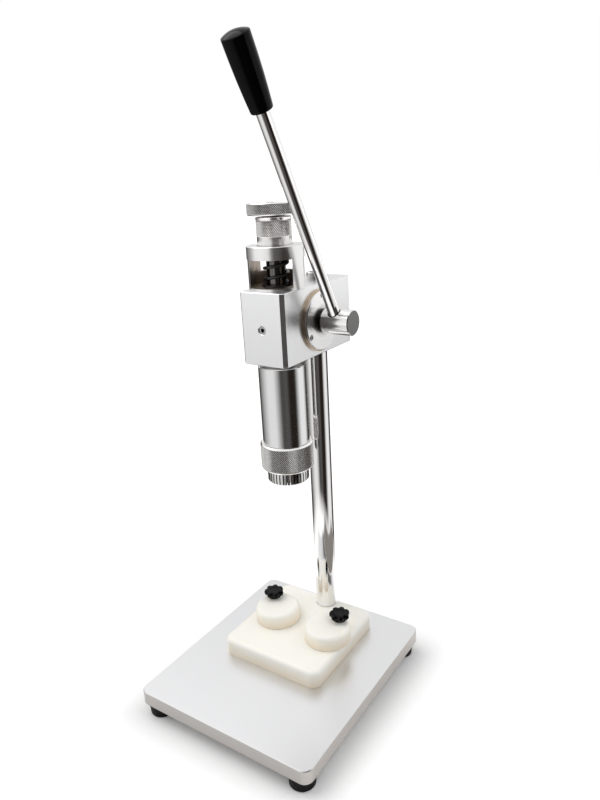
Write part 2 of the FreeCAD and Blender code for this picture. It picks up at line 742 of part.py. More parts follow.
def make_bearings():
    """Bronze flanged bush and cover on the lever's side, plain bush at the blind end."""
    half = HALF_HEAD
    inner = "bush_start"
    seat = f"({CHAMBER_RADIUS} - thread_gap)"
    bore = "(shaft_dia / 2 + shaft_gap)"
    bush = turned("flanged_bush", [(bore, inner), (seat, inner), (seat, half), ("flange_dia / 2", half),
                                   ("flange_dia / 2", f"{half} + flange_thick"),
                                   (bore, f"{half} + flange_thick")])
    cover = turned("bearing_cover", [("shaft_dia / 2 + clear_gap", "0"), ("cover_dia / 2", "0"),
                                     ("cover_dia / 2", "cover_thick - 0.8"),
                                     ("cover_dia / 2 - 0.8", "cover_thick"),
                                     ("shaft_dia / 2 + clear_gap", "cover_thick")])
    hole = "(cover_screw_dia / 2 + clear_gap)"
    for body in (bush, cover):
        pocket = cut(body, lambda sketch: draw_circle(sketch, "-cover_screw_pcd / 2", "0", hole), "through")
        around(body, pocket, "3")
    head_room = "cover_screw_head_dia / 2 + clear_gap"
    pocket = cut(cover, lambda sketch: draw_circle(sketch, "-cover_screw_pcd / 2", "0", head_room),
                 "cover_screw_sink", offset="cover_thick")
    around(cover, pocket, "3")
    place(bush, "0", PINION_BACK, SHAFT_LEVEL, ALONG_X)
    place(cover, f"{half} + flange_thick", PINION_BACK, SHAFT_LEVEL, ALONG_X)

    screws = []
    for index in range(3):
        screw = cap_screw("cover_screw", "cover_screw_dia", "cover_screw_reach",
                          "cover_screw_head_dia", "cover_screw_head")
        angle = math.radians(90 + 120 * index)
        place(screw, f"{half} + flange_thick + cover_thick - cover_screw_sink",
              f"{PINION_BACK} + cover_screw_pcd / 2 * {math.cos(angle)!r}",
              f"{SHAFT_LEVEL} + cover_screw_pcd / 2 * {math.sin(angle)!r}", ALONG_X)
        screws.append(screw)
    grouped("cover_screws", screws)

    blind = turned("blind_bush", rectangle("neck_dia / 2 + shaft_gap", "0",
                                           f"{BLIND_BUSH_RADIUS} - thread_gap", "blind_bush_length"))
    place(blind, f"-{BLIND_BUSH_LEFT}", PINION_BACK, SHAFT_LEVEL, ALONG_X)


# Lever shaft with its gear, rod and grip

def make_shaft():
    """Stepped shaft: neck in the blind bush and gear, journal in the bush, hub bored for the rod."""
    left = f"({BLIND_BUSH_LEFT} - clear_gap)"
    step = "(gear_face / 2)"
    neck = "neck_dia / 2"
    journal = "shaft_dia / 2"
    big = "hub_dia / 2"
    hub = f"({HALF_HEAD} + flange_thick + cover_thick + hub_gap)"
    shaft = turned("lever_shaft", [("0", f"-{left}"), (f"{neck} - 0.5", f"-{left}"), (neck, f"0.5 - {left}"),
                                   (neck, step), (journal, step), (journal, hub), (f"{big} - 0.6", hub),
                                   (big, f"{hub} + 0.6"), (big, "shaft_reach - 0.8"),
                                   (f"{big} - 0.8", "shaft_reach"), ("0", "shaft_reach")])
    # The body's -X side points up once its Z axis lies along the machine's X axis
    cut(shaft, lambda sketch: draw_circle(sketch, "0", "lever_out", "rod_dia / 2 + thread_gap"),
        f"{big} + rod_root", "YZ_Plane", f"-{big}", flipped=True)
    cut(shaft, lambda sketch: draw_circle(sketch, "0", "lever_out", "lock_screw_dia / 2 + thread_gap"),
        f"{big}", "YZ_Plane", big)
    keyway = rectangle("-key_width / 2", "-key_length / 2", "key_width / 2", "key_length / 2")
    cut(shaft, lambda sketch: draw_outline(sketch, keyway), "key_height / 2", "YZ_Plane", neck)
    clip = f"({step} + circlip_thick)"
    turned_groove(shaft, rectangle(f"{neck} - 1", f"-{clip}", f"{neck} + 1", f"-{step}"))
    place(shaft, "0", PINION_BACK, SHAFT_LEVEL, LEAN.multiply(ALONG_X))

    key = new_body("gear_key")
    padded(key, lambda sketch: draw_outline(sketch, rectangle(f"{neck} - key_height / 2", "-key_width / 2",
                                                              f"{neck} + key_height / 2", "key_width / 2")),
           "key_length")
    place(key, "-key_length / 2", PINION_BACK, SHAFT_LEVEL, LEAN.multiply(ALONG_X))

    clip_ring = turned("gear_circlip", rectangle(f"{neck} - 1", "0", "circlip_dia / 2",
                                                 "circlip_thick - 0.05"))
    slot = rectangle("0", "-neck_dia / 4", "circlip_dia", "neck_dia / 4")
    cut(clip_ring, lambda sketch: draw_outline(sketch, slot), "through")
    place(clip_ring, f"-{clip}", PINION_BACK, SHAFT_LEVEL, LEAN.multiply(ALONG_X))


def involute(base_radius, radius, tilt):
    """Point of an involute of the base circle at a radius, turned by tilt (radians)."""
    roll = math.sqrt(max((radius / base_radius) ** 2 - 1, 0))
    angle = tilt + roll - math.atan(roll)
    return Vector(radius * math.cos(angle), radius * math.sin(angle), 0)


def make_gear():
    """Involute gear, 20 degree pressure angle, keyed bore, one tooth towards the rack at rest."""
    module = value("tooth_module")
    teeth = int(value("tooth_count"))
    pitch = value(PITCH_RADIUS)
    tip = value(GEAR_RADIUS)
    root = pitch - 1.25 * module
    pressure = math.radians(20)
    base = pitch * math.cos(pressure)
    start = max(base, root)
    half_tooth = math.pi / (2 * teeth) - value("tooth_backlash") / (4 * pitch)
    flank_tilt = -(half_tooth + math.tan(pressure) - pressure)
    radii = [start + (tip - start) * step / 4 for step in range(5)]
    sides = []
    for tooth in range(teeth):
        middle = 2 * math.pi * tooth / teeth
        turn = Rotation(Vector(0, 0, 1), math.degrees(middle))
        rising = [involute(base, radius, flank_tilt) for radius in radii]
        falling = [Vector(point.x, -point.y, 0) for point in reversed(rising)]
        rising = [turn.multVec(point) for point in rising]
        falling = [turn.multVec(point) for point in falling]
        foot_angle = math.atan2(rising[0].y, rising[0].x)
        foot = Vector(root * math.cos(foot_angle), root * math.sin(foot_angle), 0)
        foot_end_angle = math.atan2(falling[-1].y, falling[-1].x)
        foot_end = Vector(root * math.cos(foot_end_angle), root * math.sin(foot_end_angle), 0)
        next_middle = middle + math.pi / teeth
        valley = Vector(root * math.cos(next_middle), root * math.sin(next_middle), 0)
        next_turn = Rotation(Vector(0, 0, 1), math.degrees(2 * math.pi / teeth))
        crest = Vector(tip * math.cos(middle), tip * math.sin(middle), 0)
        for points in (rising, falling):
            curve = Part.BSplineCurve()
            curve.interpolate(points)
            sides.append(curve.toShape())
        sides.append(Part.Arc(rising[-1], crest, falling[0]).toShape())
        sides.append(Part.Arc(foot_end, valley, next_turn.multVec(foot)).toShape())
        if start > root + 1e-6:
            sides.append(Part.LineSegment(foot, rising[0]).toShape())
            sides.append(Part.LineSegment(falling[-1], foot_end).toShape())
    outline = Part.Wire(Part.__sortEdges__(sides))
    face_width = value("gear_face")
    blank = Part.Face(outline).extrude(Vector(0, 0, face_width))
    bore = Part.makeCylinder(value("neck_dia / 2"), face_width)
    width = value("key_width")
    key_top = value("neck_dia / 2 + key_height / 2")
    keyway = Part.makeBox(key_top, width, face_width, Vector(0, -width / 2, 0))
    gear = doc.addObject("Part::Feature", "pinion_gear")
    # The keyway is cut where the leaning shaft has its own
    to_key = Rotation(Vector(0, 0, 1), value("lever_lean") - 90)
    keyway.Placement = FreeCAD.Placement(Vector(0, 0, 0), to_key)
    gear.Shape = blank.cut(bore).cut(keyway)
    upright_tooth = Rotation(Vector(1, 0, 0), 90).multiply(ALONG_X)
    gear.Placement = FreeCAD.Placement(Vector(0, 0, 0), upright_tooth)
    place(gear, "-gear_face / 2", PINION_BACK, SHAFT_LEVEL)


def along_lever(reach):
    """Place on the leaning lever, at a distance from the shaft's axis, as back and height."""
    lean = math.radians(value("lever_lean"))
    return (f"{PINION_BACK} - ({reach}) * {math.sin(lean)!r}",
            f"{SHAFT_LEVEL} + ({reach}) * {math.cos(lean)!r}")


def make_lever():
    """Rod in the shaft's crosswise hole, tapered grip on its end, locking screw below it."""
    radius = "rod_dia / 2"
    rod = turned("lever_rod", [("0", "0"), (f"{radius} - 1", "0"), (radius, "1"),
                               (radius, "rod_length - 1"), (f"{radius} - 1", "rod_length"),
                               ("0", "rod_length")])
    back, height = along_lever("-rod_root")
    place(rod, "lever_out", back, height, LEAN)

    inside = "(rod_dia / 2 + thread_gap)"
    end = "grip_length"
    hole = "(rod_in_grip + 0.5)"
    crown = f"({end} - grip_crown)"
    grip = turned("lever_grip", [("0", hole), (inside, hole), (inside, "0"),
                                 ("grip_mouth_dia / 2 - 1", "0"), ("grip_mouth_dia / 2", "1"),
                                 ("grip_waist_dia / 2", f"{end} * 0.42"), ("grip_dia / 2", f"{end} * 0.85"),
                                 ("grip_dia / 2", crown), ("grip_dia / 4", end), ("0", end)])
    dress(grip, "Fillet", "grip_dome", at_level(end))
    dress(grip, "Fillet", "grip_edge", at_level(crown))
    back, height = along_lever(GRIP_START)
    place(grip, "lever_out", back, height, LEAN)

    lock = turned("lever_lock_screw", [("0", "0"), ("lock_screw_dia / 2", "0"),
                                       ("lock_screw_dia / 2", "hub_dia / 2 - rod_root - 0.5"),
                                       ("0", "hub_dia / 2 - rod_root - 0.5")])
    back, height = along_lever("-hub_dia / 2 + 0.4")
    place(lock, "lever_out", back, height, LEAN)


# Spindle: everything that slides with the quill

def make_quill():
    """Bored bar with a rack on its back and a keyway down its front."""
    length = f"({QUILL_TOP} - {COLLET_TOP})"
    radius = "quill_dia / 2"
    guide = f"({length} - quill_guide)"
    rod = "(draw_rod_dia / 2 + 2 * clear_gap)"
    quill = turned("quill", [(rod, guide), ("quill_bore / 2", f"{guide} - 6"), ("quill_bore / 2", "0"),
                             (radius, "0"), (radius, f"{length} - 0.6"), (f"{radius} - 0.6", length),
                             (rod, length)])
    pinion_level = f"({SHAFT_LEVEL} - {COLLET_TOP})"
    tip = "(rack_offset + tooth_module)"
    root = "(rack_offset - 1.25 * tooth_module)"
    bottom = f"({pinion_level} - (rack_below + 1) * {TOOTH_PITCH})"
    flat = rectangle(tip, bottom, f"{radius} + 1", f"{length} + 1")
    cut(quill, lambda sketch: draw_outline(sketch, flat), "through", "YZ_Plane")
    slope = math.tan(math.radians(20))
    half_root = f"({TOOTH_PITCH} / 4 + tooth_backlash / 4 - 1.25 * tooth_module * {slope!r})"
    half_tip = f"({TOOTH_PITCH} / 4 + tooth_backlash / 4 + 2.25 * tooth_module * {slope!r})"
    level = f"({pinion_level} - rack_below * {TOOTH_PITCH})"
    beyond = "(rack_offset + 2.25 * tooth_module)"
    space = [(root, f"{level} - {half_root}"), (beyond, f"{level} - {half_tip}"),
             (beyond, f"{level} + {half_tip}"), (root, f"{level} + {half_root}")]
    tooth_space = cut(quill, lambda sketch: draw_outline(sketch, space), "through", "YZ_Plane")
    rack = quill.newObject("PartDesign::LinearPattern", "rack_teeth_row")
    rack.Originals = [tooth_space]
    rack.Direction = (origin_feature(quill, "Z_Axis"), [""])
    rack.setExpression("Length", bound(f"(rack_teeth - 1) * {TOOTH_PITCH}"))
    rack.setExpression("Occurrences", bound("rack_teeth"))
    quill.Tip = rack
    low = f"({pinion_level} - dog_dia / 2 - 1)"
    keyway = rectangle("-keyway_width / 2", low, "keyway_width / 2", f"{length} + 1")
    cut(quill, lambda sketch: draw_outline(sketch, keyway), "keyway_depth + 0.01", "XZ_Plane", radius)
    place(quill, "0", "spindle_back", COLLET_TOP)


def make_sleeve():
    """Tube over the quill's lower part, with a reduced end that carries the collet nut."""
    bore = "(quill_dia / 2 + thread_gap)"
    radius = "sleeve_dia / 2"
    shoulder = "nut_thread"
    top = f"({shoulder} + sleeve_length)"
    sleeve = turned("outer_sleeve", [(bore, "0"), ("nut_thread_dia / 2 - 0.8", "0"),
                                     ("nut_thread_dia / 2", "0.8"), ("nut_thread_dia / 2", shoulder),
                                     (radius, shoulder), (radius, f"{top} - sleeve_bevel"),
                                     (f"{radius} - sleeve_bevel", top), (bore, top)])
    place(sleeve, "0", "spindle_back", f"{SLEEVE_SHOULDER} - nut_thread")


def make_nut():
    """Knurled nut whose coned mouth closes the collet's fingers."""
    radius = "nut_dia / 2"
    land = f"(nut_height - nut_thread + clear_gap - 1)"
    nut = turned("collet_nut", [("nut_mouth_dia / 2", "0"), (f"{radius} - nut_bevel", "0"),
                                (radius, "nut_bevel"), (radius, "nut_height - nut_bevel"),
                                (f"{radius} - nut_bevel", "nut_height"),
                                ("nut_thread_dia / 2 + thread_gap", "nut_height"),
                                ("nut_thread_dia / 2 + thread_gap", land),
                                ("nut_mouth_dia / 2", f"{land} - 1")])
    place(nut, "0", "spindle_back", NUT_BOTTOM)


def make_collet():
    """Bell of narrow fingers, slotted from the mouth up to a solid crown."""
    outer = "collet_dia / 2"
    neck = "collet_neck_dia / 2"
    waist = "collet_waist_dia / 2"
    collar = "quill_dia / 2"
    mouth = "collet_mouth_dia / 2"
    bore = "collet_bore / 2"
    roof = "(collet_length - collet_crown)"
    rod = "(draw_rod_dia / 2 + thread_gap)"
    collet = turned("collet", [(mouth, "0"), (f"{outer} - collet_edge", "0"), (outer, "collet_edge"),
                               (outer, "collet_drop * 0.6"), (neck, "collet_drop"),
                               (neck, "collet_drop + 3"), (waist, "collet_drop + 7"),
                               (waist, "collet_finger"), (collar, "collet_finger + 2"),
                               (collar, "collet_length"), (rod, "collet_length"), (rod, roof),
                               (bore, roof), (bore, "collet_lip + 3"), (mouth, "collet_lip")])
    slot = rectangle("0", "-collet_slot / 2", "collet_dia", "collet_slot / 2")
    first = cut(collet, lambda sketch: draw_outline(sketch, slot), "collet_finger", flipped=True)
    around(collet, first, "collet_slots")
    place(collet, "0", "spindle_back", COLLET_BOTTOM)


def make_centre():
    """Presser that holds the pump down, and the draw rod, thicker where it guides the spring."""
    bore = "(draw_rod_dia / 2 + thread_gap)"
    socket = "(presser_height / 2)"
    presser = turned("centre_presser", [("0", "presser_dimple"), ("presser_dimple_dia / 2", "presser_dimple"),
                                        ("presser_dimple_dia / 2", "0"), ("presser_dia / 2 - 1", "0"),
                                        ("presser_dia / 2", "1"), ("presser_dia / 2", "presser_height"),
                                        (bore, "presser_height"), (bore, socket), ("0", socket)])
    place(presser, "0", "spindle_back", PRESSER_BOTTOM)
    radius = "draw_rod_dia / 2"
    start = f"({PRESSER_BOTTOM} + {socket})"
    length = f"({KNOB_TOP} - knob_recess - {start})"
    guide = "spring_guide_dia / 2"
    guide_bottom = f"({QUILL_TOP} - {start})"
    guide_top = f"({CUP_TOP} - cup_crown - {start})"
    rod = turned("draw_rod", [("0", "0"), (f"{radius} - 0.8", "0"), (radius, "0.8"),
                              (radius, guide_bottom), (guide, guide_bottom), (guide, guide_top),
                              (radius, guide_top), (radius, f"{length} - 0.8"),
                              (f"{radius} - 0.8", length), ("0", length)])
    place(rod, "0", "spindle_back", start)


# Spring cage, spring, cup and stop knob

def make_cage():
    """Bored cage, slotted between two flat-sided posts, with a sill behind and a ring above."""
    ring = "cage_dia / 2"
    post = "cage_post_dia / 2"
    inside = "cage_bore / 2"
    under_ring = "(cage_height - cage_ring)"
    ring_bore = "(cup_dia / 2 + clear_gap)"
    rod_hole = "(spring_guide_dia / 2 + 2 * clear_gap)"
    cage = turned("spring_cage", [(rod_hole, "-cage_spigot"), ("quill_dia / 2", "-cage_spigot"),
                                  ("quill_dia / 2", "0"), (post, "0"), (post, under_ring),
                                  (ring, under_ring), (ring, "cage_height - 0.6"),
                                  (f"{ring} - 0.6", "cage_height"), (ring_bore, "cage_height"),
                                  (ring_bore, under_ring), (inside, under_ring), (inside, "cage_floor"),
                                  (rod_hole, "cage_floor")])
    half = "(cage_window / 2)"
    cut(cage, lambda sketch: draw_outline(sketch, rectangle(f"-{half}", "cage_floor", half, under_ring)),
        ring, "XZ_Plane", ring)
    cut(cage, lambda sketch: draw_outline(sketch, rectangle(f"-{half}", "cage_rear_sill", half,
                                                            under_ring)),
        ring, "XZ_Plane", f"-{ring}", flipped=True)
    place(cage, "0", "spindle_back", HEAD_TOP, Rotation(Vector(0, 0, 1), value("cage_turn")))
    seat = turned("spring_seat", rectangle("spring_guide_dia / 2 + 2 * clear_gap", "0", "seat_dia / 2",
                                           "seat_thick"))
    place(seat, "0", "spindle_back", f"{HEAD_TOP} + cage_floor")


def make_spring():
    """Return spring of round wire, wound close at both ends, in eight-sided wire at sixteen stations."""
    wire = value("spring_wire / 2")
    coil = value("spring_dia / 2") - wire
    turns = int(value("spring_turns"))
    seat = value(f"{HEAD_TOP} + cage_floor + seat_thick")
    rise = value(f"{CUP_TOP} - cup_crown") - seat - 2 * wire
    closed = value("spring_closed")
    stations = 16 * turns
    steps = []
    for station in range(stations):
        from_end = min(station + 0.5, stations - station - 0.5) / 16
        grade = min(from_end / closed, 1)
        steps.append(grade ** 2 * (3 - 2 * grade))
    climb = rise / sum(steps)
    height = wire
    sections = []
    for station in range(stations + 1):
        angle = 2 * math.pi * station / 16
        out = Vector(math.cos(angle), math.sin(angle), 0)
        near = steps[min(station, stations - 1)] + steps[max(station - 1, 0)]
        run = Vector(-2 * math.pi * coil * out.y, 2 * math.pi * coil * out.x, 8 * climb * near)
        side = run.normalize().cross(out)
        centre = out * coil + Vector(0, 0, height)
        corners = []
        for corner in range(9):
            turn = 2 * math.pi * corner / 8
            corners.append(centre + out * (wire * math.cos(turn)) + side * (wire * math.sin(turn)))
        sections.append(Part.makePolygon(corners))
        if station < stations:
            height += climb * steps[station]
    spring = doc.addObject("Part::Feature", "return_spring")
    spring.Shape = Part.makeLoft(sections, True, True)
    place(spring, "0", "spindle_back", f"{HEAD_TOP} + cage_floor + seat_thick")


def make_cup():
    """Knurled cup over the spring's upper end; its plain skirt runs in the cage's ring."""
    radius = "cup_dia / 2"
    skirt = "cup_skirt_dia / 2"
    height = "(cup_skirt + cup_rise)"
    line = f"({height} - 3)"
    cup = turned("spring_cup", [("cup_bore / 2", "0"), (f"{skirt} - 0.6", "0"), (skirt, "0.6"),
                                (skirt, "cup_plain"), (radius, f"cup_plain + cup_dia / 2 - {skirt}"),
                                (radius, line), (f"{radius} - cup_groove", f"{line} + 0.3"),
                                (f"{radius} - cup_groove", f"{line} + 0.7"), (radius, f"{line} + 1"),
                                (radius, f"{height} - 0.6"), (f"{radius} - 0.6", height),
                                ("draw_rod_dia / 2 + shaft_gap", height),
                                ("draw_rod_dia / 2 + shaft_gap", f"{height} - cup_crown"),
                                ("cup_bore / 2", f"{height} - cup_crown")])
    place(cup, "0", "spindle_back", CUP_BOTTOM)


def make_knob():
    """Knurled stop knob that meets the cage's ring at the end of the stroke, on a spacer."""
    radius = "knob_dia / 2"
    knob = turned("stop_knob", [("draw_rod_dia / 2 + shaft_gap", "0"), (f"{radius} - knob_bevel", "0"),
                                (radius, "knob_bevel"), (radius, "knob_height - knob_bevel"),
                                (f"{radius} - knob_bevel", "knob_height"),
                                ("knob_recess_dia / 2", "knob_height"),
                                ("knob_recess_dia / 2 - knob_recess", "knob_height - knob_recess"),
                                ("draw_rod_dia / 2 + shaft_gap", "knob_height - knob_recess")])
    place(knob, "0", "spindle_back", KNOB_BOTTOM)
    spacer = turned("knob_spacer", rectangle("draw_rod_dia / 2 + shaft_gap", "0", "spacer_dia / 2",
                                             f"{KNOB_BOTTOM} - {CUP_TOP}"))
    place(spacer, "0", "spindle_back", CUP_TOP)


make_base()
make_feet()
make_column()
make_nest()
make_studs()
for hand, place_across in STUD_PLACES.items():
    make_disc(f"{hand}_disc", place_across, f"{hand}_disc_turn")
    make_star(f"{hand}_star_knob", place_across)
make_head()
make_head_screws()
make_bearings()
make_shaft()
make_gear()
make_lever()
make_quill()
make_sleeve()
make_nut()
make_collet()
make_centre()
make_cage()
make_spring()
make_cup()
make_knob()

NODES = [
    "base_plate", "rubber_feet", "foot_screws", "column", "column_washer", "column_bolt",
    "nest_plate", "nest_screws", "disc_studs", "disc_washers", "left_disc", "right_disc",
    "left_star_knob", "left_star_knob_insert", "right_star_knob", "right_star_knob_insert",
    "head_block", "column_top_screw", "guide_screw", "column_lock_screw",
    "flanged_bush", "bearing_cover", "cover_screws", "blind_bush",
    "lever_shaft", "gear_key", "gear_circlip", "pinion_gear", "lever_rod", "lever_grip",
    "lever_lock_screw", "quill", "outer_sleeve", "collet_nut", "collet", "centre_presser",
    "draw_rod", "spring_cage", "spring_seat", "return_spring", "spring_cup", "stop_knob",
    "knob_spacer",
]

doc.recompute()
for item in doc.Objects:
    if "Invalid" in item.State or "Error" in item.State:
        raise RuntimeError(f"{item.Label} failed: {item.State}")

os.makedirs("parts", exist_ok=True)
shapes = {}
for label in NODES:
    shape = doc.getObjectsByLabel(label)[0].Shape
    if shape.isNull() or not shape.isValid() or not shape.Solids:
        raise RuntimeError(f"{label} has no valid solid")
    shapes[label] = shape
for label, shape in shapes.items():
    shape.exportStep(f"parts/{label}.step")
print(len(shapes), "nodes written")
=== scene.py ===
# %% [markdown]
# # A hand crimping press, from its CAD solids to a studio picture
#
# The press is mostly turned and milled metal, so its CAD solids already have the right shapes.
# What is missing is the look: diamond knurls, a wound spring, moulded black plastic, chrome that
# mirrors the studio, and milky plastic that lets a little light in. Each cell below adds one of these.

# %% Load the solids
import math

import bmesh
import bpy
import numpy as np
from mathutils import Matrix, Vector


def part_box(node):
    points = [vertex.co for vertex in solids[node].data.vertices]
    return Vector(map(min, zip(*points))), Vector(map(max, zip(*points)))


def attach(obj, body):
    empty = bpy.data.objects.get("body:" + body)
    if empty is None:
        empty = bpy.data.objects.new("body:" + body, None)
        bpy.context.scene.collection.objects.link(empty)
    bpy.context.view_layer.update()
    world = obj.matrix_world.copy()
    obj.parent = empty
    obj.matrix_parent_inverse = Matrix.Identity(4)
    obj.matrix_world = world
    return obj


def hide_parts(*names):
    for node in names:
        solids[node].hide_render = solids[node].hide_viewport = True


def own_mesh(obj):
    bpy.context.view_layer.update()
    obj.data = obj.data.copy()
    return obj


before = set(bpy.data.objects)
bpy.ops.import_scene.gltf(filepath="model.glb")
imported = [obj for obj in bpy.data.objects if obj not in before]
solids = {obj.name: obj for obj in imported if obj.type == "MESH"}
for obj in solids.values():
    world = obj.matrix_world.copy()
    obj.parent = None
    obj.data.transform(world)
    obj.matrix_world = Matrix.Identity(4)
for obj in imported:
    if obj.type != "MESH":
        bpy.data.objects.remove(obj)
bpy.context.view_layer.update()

# %% [markdown]
# ## Camera
# The picture was taken from a little above, with a short lens close to the press, so upright lines
# lean towards each other. The camera stands where the base's corners, the block, the column and the
# lever all fall on their places in the picture. Its direction is given as a turn round the press, a
# height above the horizon and a small roll, because those are easy to read and to change.

# %% Camera
PICTURE = (600, 800)
SENSOR = 36.0
FOCAL_PIXELS = 680.1
CAMERA_PLACE = (0.3960, -0.5225, 0.5589)
CAMERA_TURN = math.radians(34.37)
CAMERA_RISE = math.radians(18.28)
CAMERA_ROLL = math.radians(-3.03)


def seen_from(turn, rise):
    """Direction towards a place at a turn round the press and a rise above the horizon, in radians."""
    return Vector((math.sin(turn) * math.cos(rise), -math.cos(turn) * math.cos(rise), math.sin(rise)))


def looking(turn, rise, roll):
    """Rotation whose columns are the camera's right, up and back, rolled about back."""
    back = seen_from(turn, rise)
    right = Vector((math.cos(turn), math.sin(turn), 0))
    up = back.cross(right)
    rolled_right = right * math.cos(roll) + up * math.sin(roll)
    rolled_up = up * math.cos(roll) - right * math.sin(roll)
    return Matrix((rolled_right, rolled_up, back)).transposed().to_4x4()


lens = bpy.data.cameras.new("camera")
lens.sensor_fit = "AUTO"
lens.sensor_width = SENSOR
lens.lens = FOCAL_PIXELS * SENSOR / max(PICTURE)
lens.clip_start = 0.01
lens.clip_end = 100
camera = bpy.data.objects.new("camera", lens)
camera.matrix_world = Matrix.Translation(CAMERA_PLACE) @ looking(CAMERA_TURN, CAMERA_RISE, CAMERA_ROLL)
bpy.context.scene.collection.objects.link(camera)
bpy.context.scene.camera = camera
print("lens", round(lens.lens, 1), "mm")

# %% [markdown]
# ## Writing shader maths as Python
# A finish that changes over a surface needs small sums, such as how far a point is from an edge.
# Node by node that is slow to read. One small class stands for a node's output, so that
# `1 - mask` or `(height - low) * 4` adds the Math nodes by itself. Every other node comes from
# one method, which takes the node's kind, its settings and what goes into its sockets.

# %% Wire: a node's output that can be added, multiplied and compared
class Wire:
    """One output of a node in a finish; operators on it add Math nodes."""

    def __init__(self, finish, socket):
        self.finish = finish
        self.socket = socket

    def __add__(self, other):
        return self.finish.maths("ADD", self, other)

    def __radd__(self, other):
        return self.finish.maths("ADD", other, self)

    def __sub__(self, other):
        return self.finish.maths("SUBTRACT", self, other)

    def __rsub__(self, other):
        return self.finish.maths("SUBTRACT", other, self)

    def __mul__(self, other):
        return self.finish.maths("MULTIPLY", self, other)

    def __rmul__(self, other):
        return self.finish.maths("MULTIPLY", other, self)

    def __truediv__(self, other):
        return self.finish.maths("DIVIDE", self, other)

    def __rtruediv__(self, other):
        return self.finish.maths("DIVIDE", other, self)

    def __gt__(self, other):
        return self.finish.maths("GREATER_THAN", self, other)

    def __lt__(self, other):
        return self.finish.maths("LESS_THAN", self, other)

    def __abs__(self):
        return self.finish.maths("ABSOLUTE", self)

    def clamped(self):
        """The value held between 0 and 1."""
        return self.finish.maths("ADD", self, 0, clamp=True)


# %% Finish: one material, with its nodes made by one method
EVEN = (1, 1, 1)
GRAIN_DETAIL = 2
AXIS_BACK = 0.0272


class Finish:
    """A material. Values that are the same everywhere are set on the shader's own sockets."""

    def __init__(self, name, **sockets):
        self.material = bpy.data.materials.new(name)
        self.material.use_nodes = True
        self.tree = self.material.node_tree
        self.shader = next(node for node in self.tree.nodes if node.type == "BSDF_PRINCIPLED")
        for socket, value in sockets.items():
            self.feed(socket.replace("_", " ").title().replace("Ior", "IOR"), value)

    def node(self, kind, settings=None, inputs=None, output=0):
        """Add a node of a kind, set it up, fill its inputs by name or number, return one output."""
        made = self.tree.nodes.new("ShaderNode" + kind)
        for key, value in (settings or {}).items():
            if key == "stops":
                self.set_stops(made.color_ramp, value)
            else:
                setattr(made, key, value)
        for key, value in (inputs or {}).items():
            self.join(value, made.inputs[key])
        return Wire(self, made.outputs[output])

    def set_stops(self, ramp, stops):
        """Give a colour ramp its stops, as (position, grey) pairs."""
        while len(ramp.elements) > 1:
            ramp.elements.remove(ramp.elements[-1])
        for index, (position, grey) in enumerate(stops):
            element = ramp.elements[0] if index == 0 else ramp.elements.new(position)
            element.position = position
            element.color = (grey, grey, grey, 1)

    def join(self, value, socket):
        """Link a wire to a socket, or set the socket to a plain value."""
        if isinstance(value, Wire):
            self.tree.links.new(value.socket, socket)
        elif isinstance(value, (tuple, list)) and len(socket.default_value) == 4 and len(value) == 3:
            socket.default_value = (*value, 1)
        else:
            socket.default_value = value

    def feed(self, name, value):
        """Feed one of the shader's own sockets."""
        self.join(value, self.shader.inputs[name])

    def maths(self, operation, first, second=0, clamp=False):
        """One Math node."""
        return self.node("Math", {"operation": operation, "use_clamp": clamp}, {0: first, 1: second})

    def length(self, first, second):
        """Length of a line from its two parts at right angles."""
        return self.maths("SQRT", first * first + second * second)

    def place(self):
        """Object coordinates, in metres."""
        return self.node("TexCoord", output="Object")

    def axes(self):
        """The three Object coordinates as separate wires."""
        parts = self.tree.nodes.new("ShaderNodeSeparateXYZ")
        self.tree.links.new(self.place().socket, parts.inputs[0])
        return [Wire(self, parts.outputs[index]) for index in range(3)]

    def from_spindle(self):
        """Distance from the spindle's upright axis."""
        x, y, _ = self.axes()
        return self.length(x, y - AXIS_BACK)

    def grain(self, size, stretch=EVEN):
        """Noise from 0 to 1 whose lumps are size metres across, drawn out by stretch."""
        drawn = self.node("Mapping", {}, {"Vector": self.place(), "Scale": tuple(1 / s for s in stretch)})
        return self.node("TexNoise", {}, {"Vector": drawn, "Scale": 1 / size, "Detail": GRAIN_DETAIL})

    def lathe_lines(self, distance, size):
        """Noise from 0 to 1 that changes with one distance alone, like the marks of a lathe tool."""
        row = self.node("CombineXYZ", {}, {"X": distance})
        return self.node("TexNoise", {}, {"Vector": row, "Scale": 1 / size, "Detail": GRAIN_DETAIL})

    def roughness(self, least, most, size, stretch=EVEN):
        """A roughness that wanders from least to most with a grain."""
        return self.grain(size, stretch) * (most - least) + least

    def blend(self, amount, low, high):
        """Mix two colours."""
        return self.node("Mix", {"data_type": "RGBA"}, {0: amount, 6: low, 7: high}, output=2)

    def roughen(self, height, distance, strength):
        """Turn a height into bumps of a given distance in metres."""
        bump = self.node("Bump", {}, {"Height": height, "Distance": distance, "Strength": strength})
        self.feed("Normal", bump)


def dress(finish, *pieces):
    """Give CAD solids or new pieces one finish."""
    for piece in pieces:
        thing = solids[piece] if isinstance(piece, str) else piece
        thing.data.materials.clear()
        thing.data.materials.append(finish.material)
    print(finish.material.name, "dresses", len(pieces))


print("shader helpers ready")

# %% [markdown]
# ## Skins
# Every new piece is a skin: a grid of points worked out in one go with numpy. One direction of the
# grid runs round the piece and the other along its outline. A skin whose outline comes back to its
# start is closed like a ring; one that ends on the axis is closed by a point.

# %% Turning a grid of points into a closed piece
SHARP = math.radians(32)
SAME_POINT = 1e-7


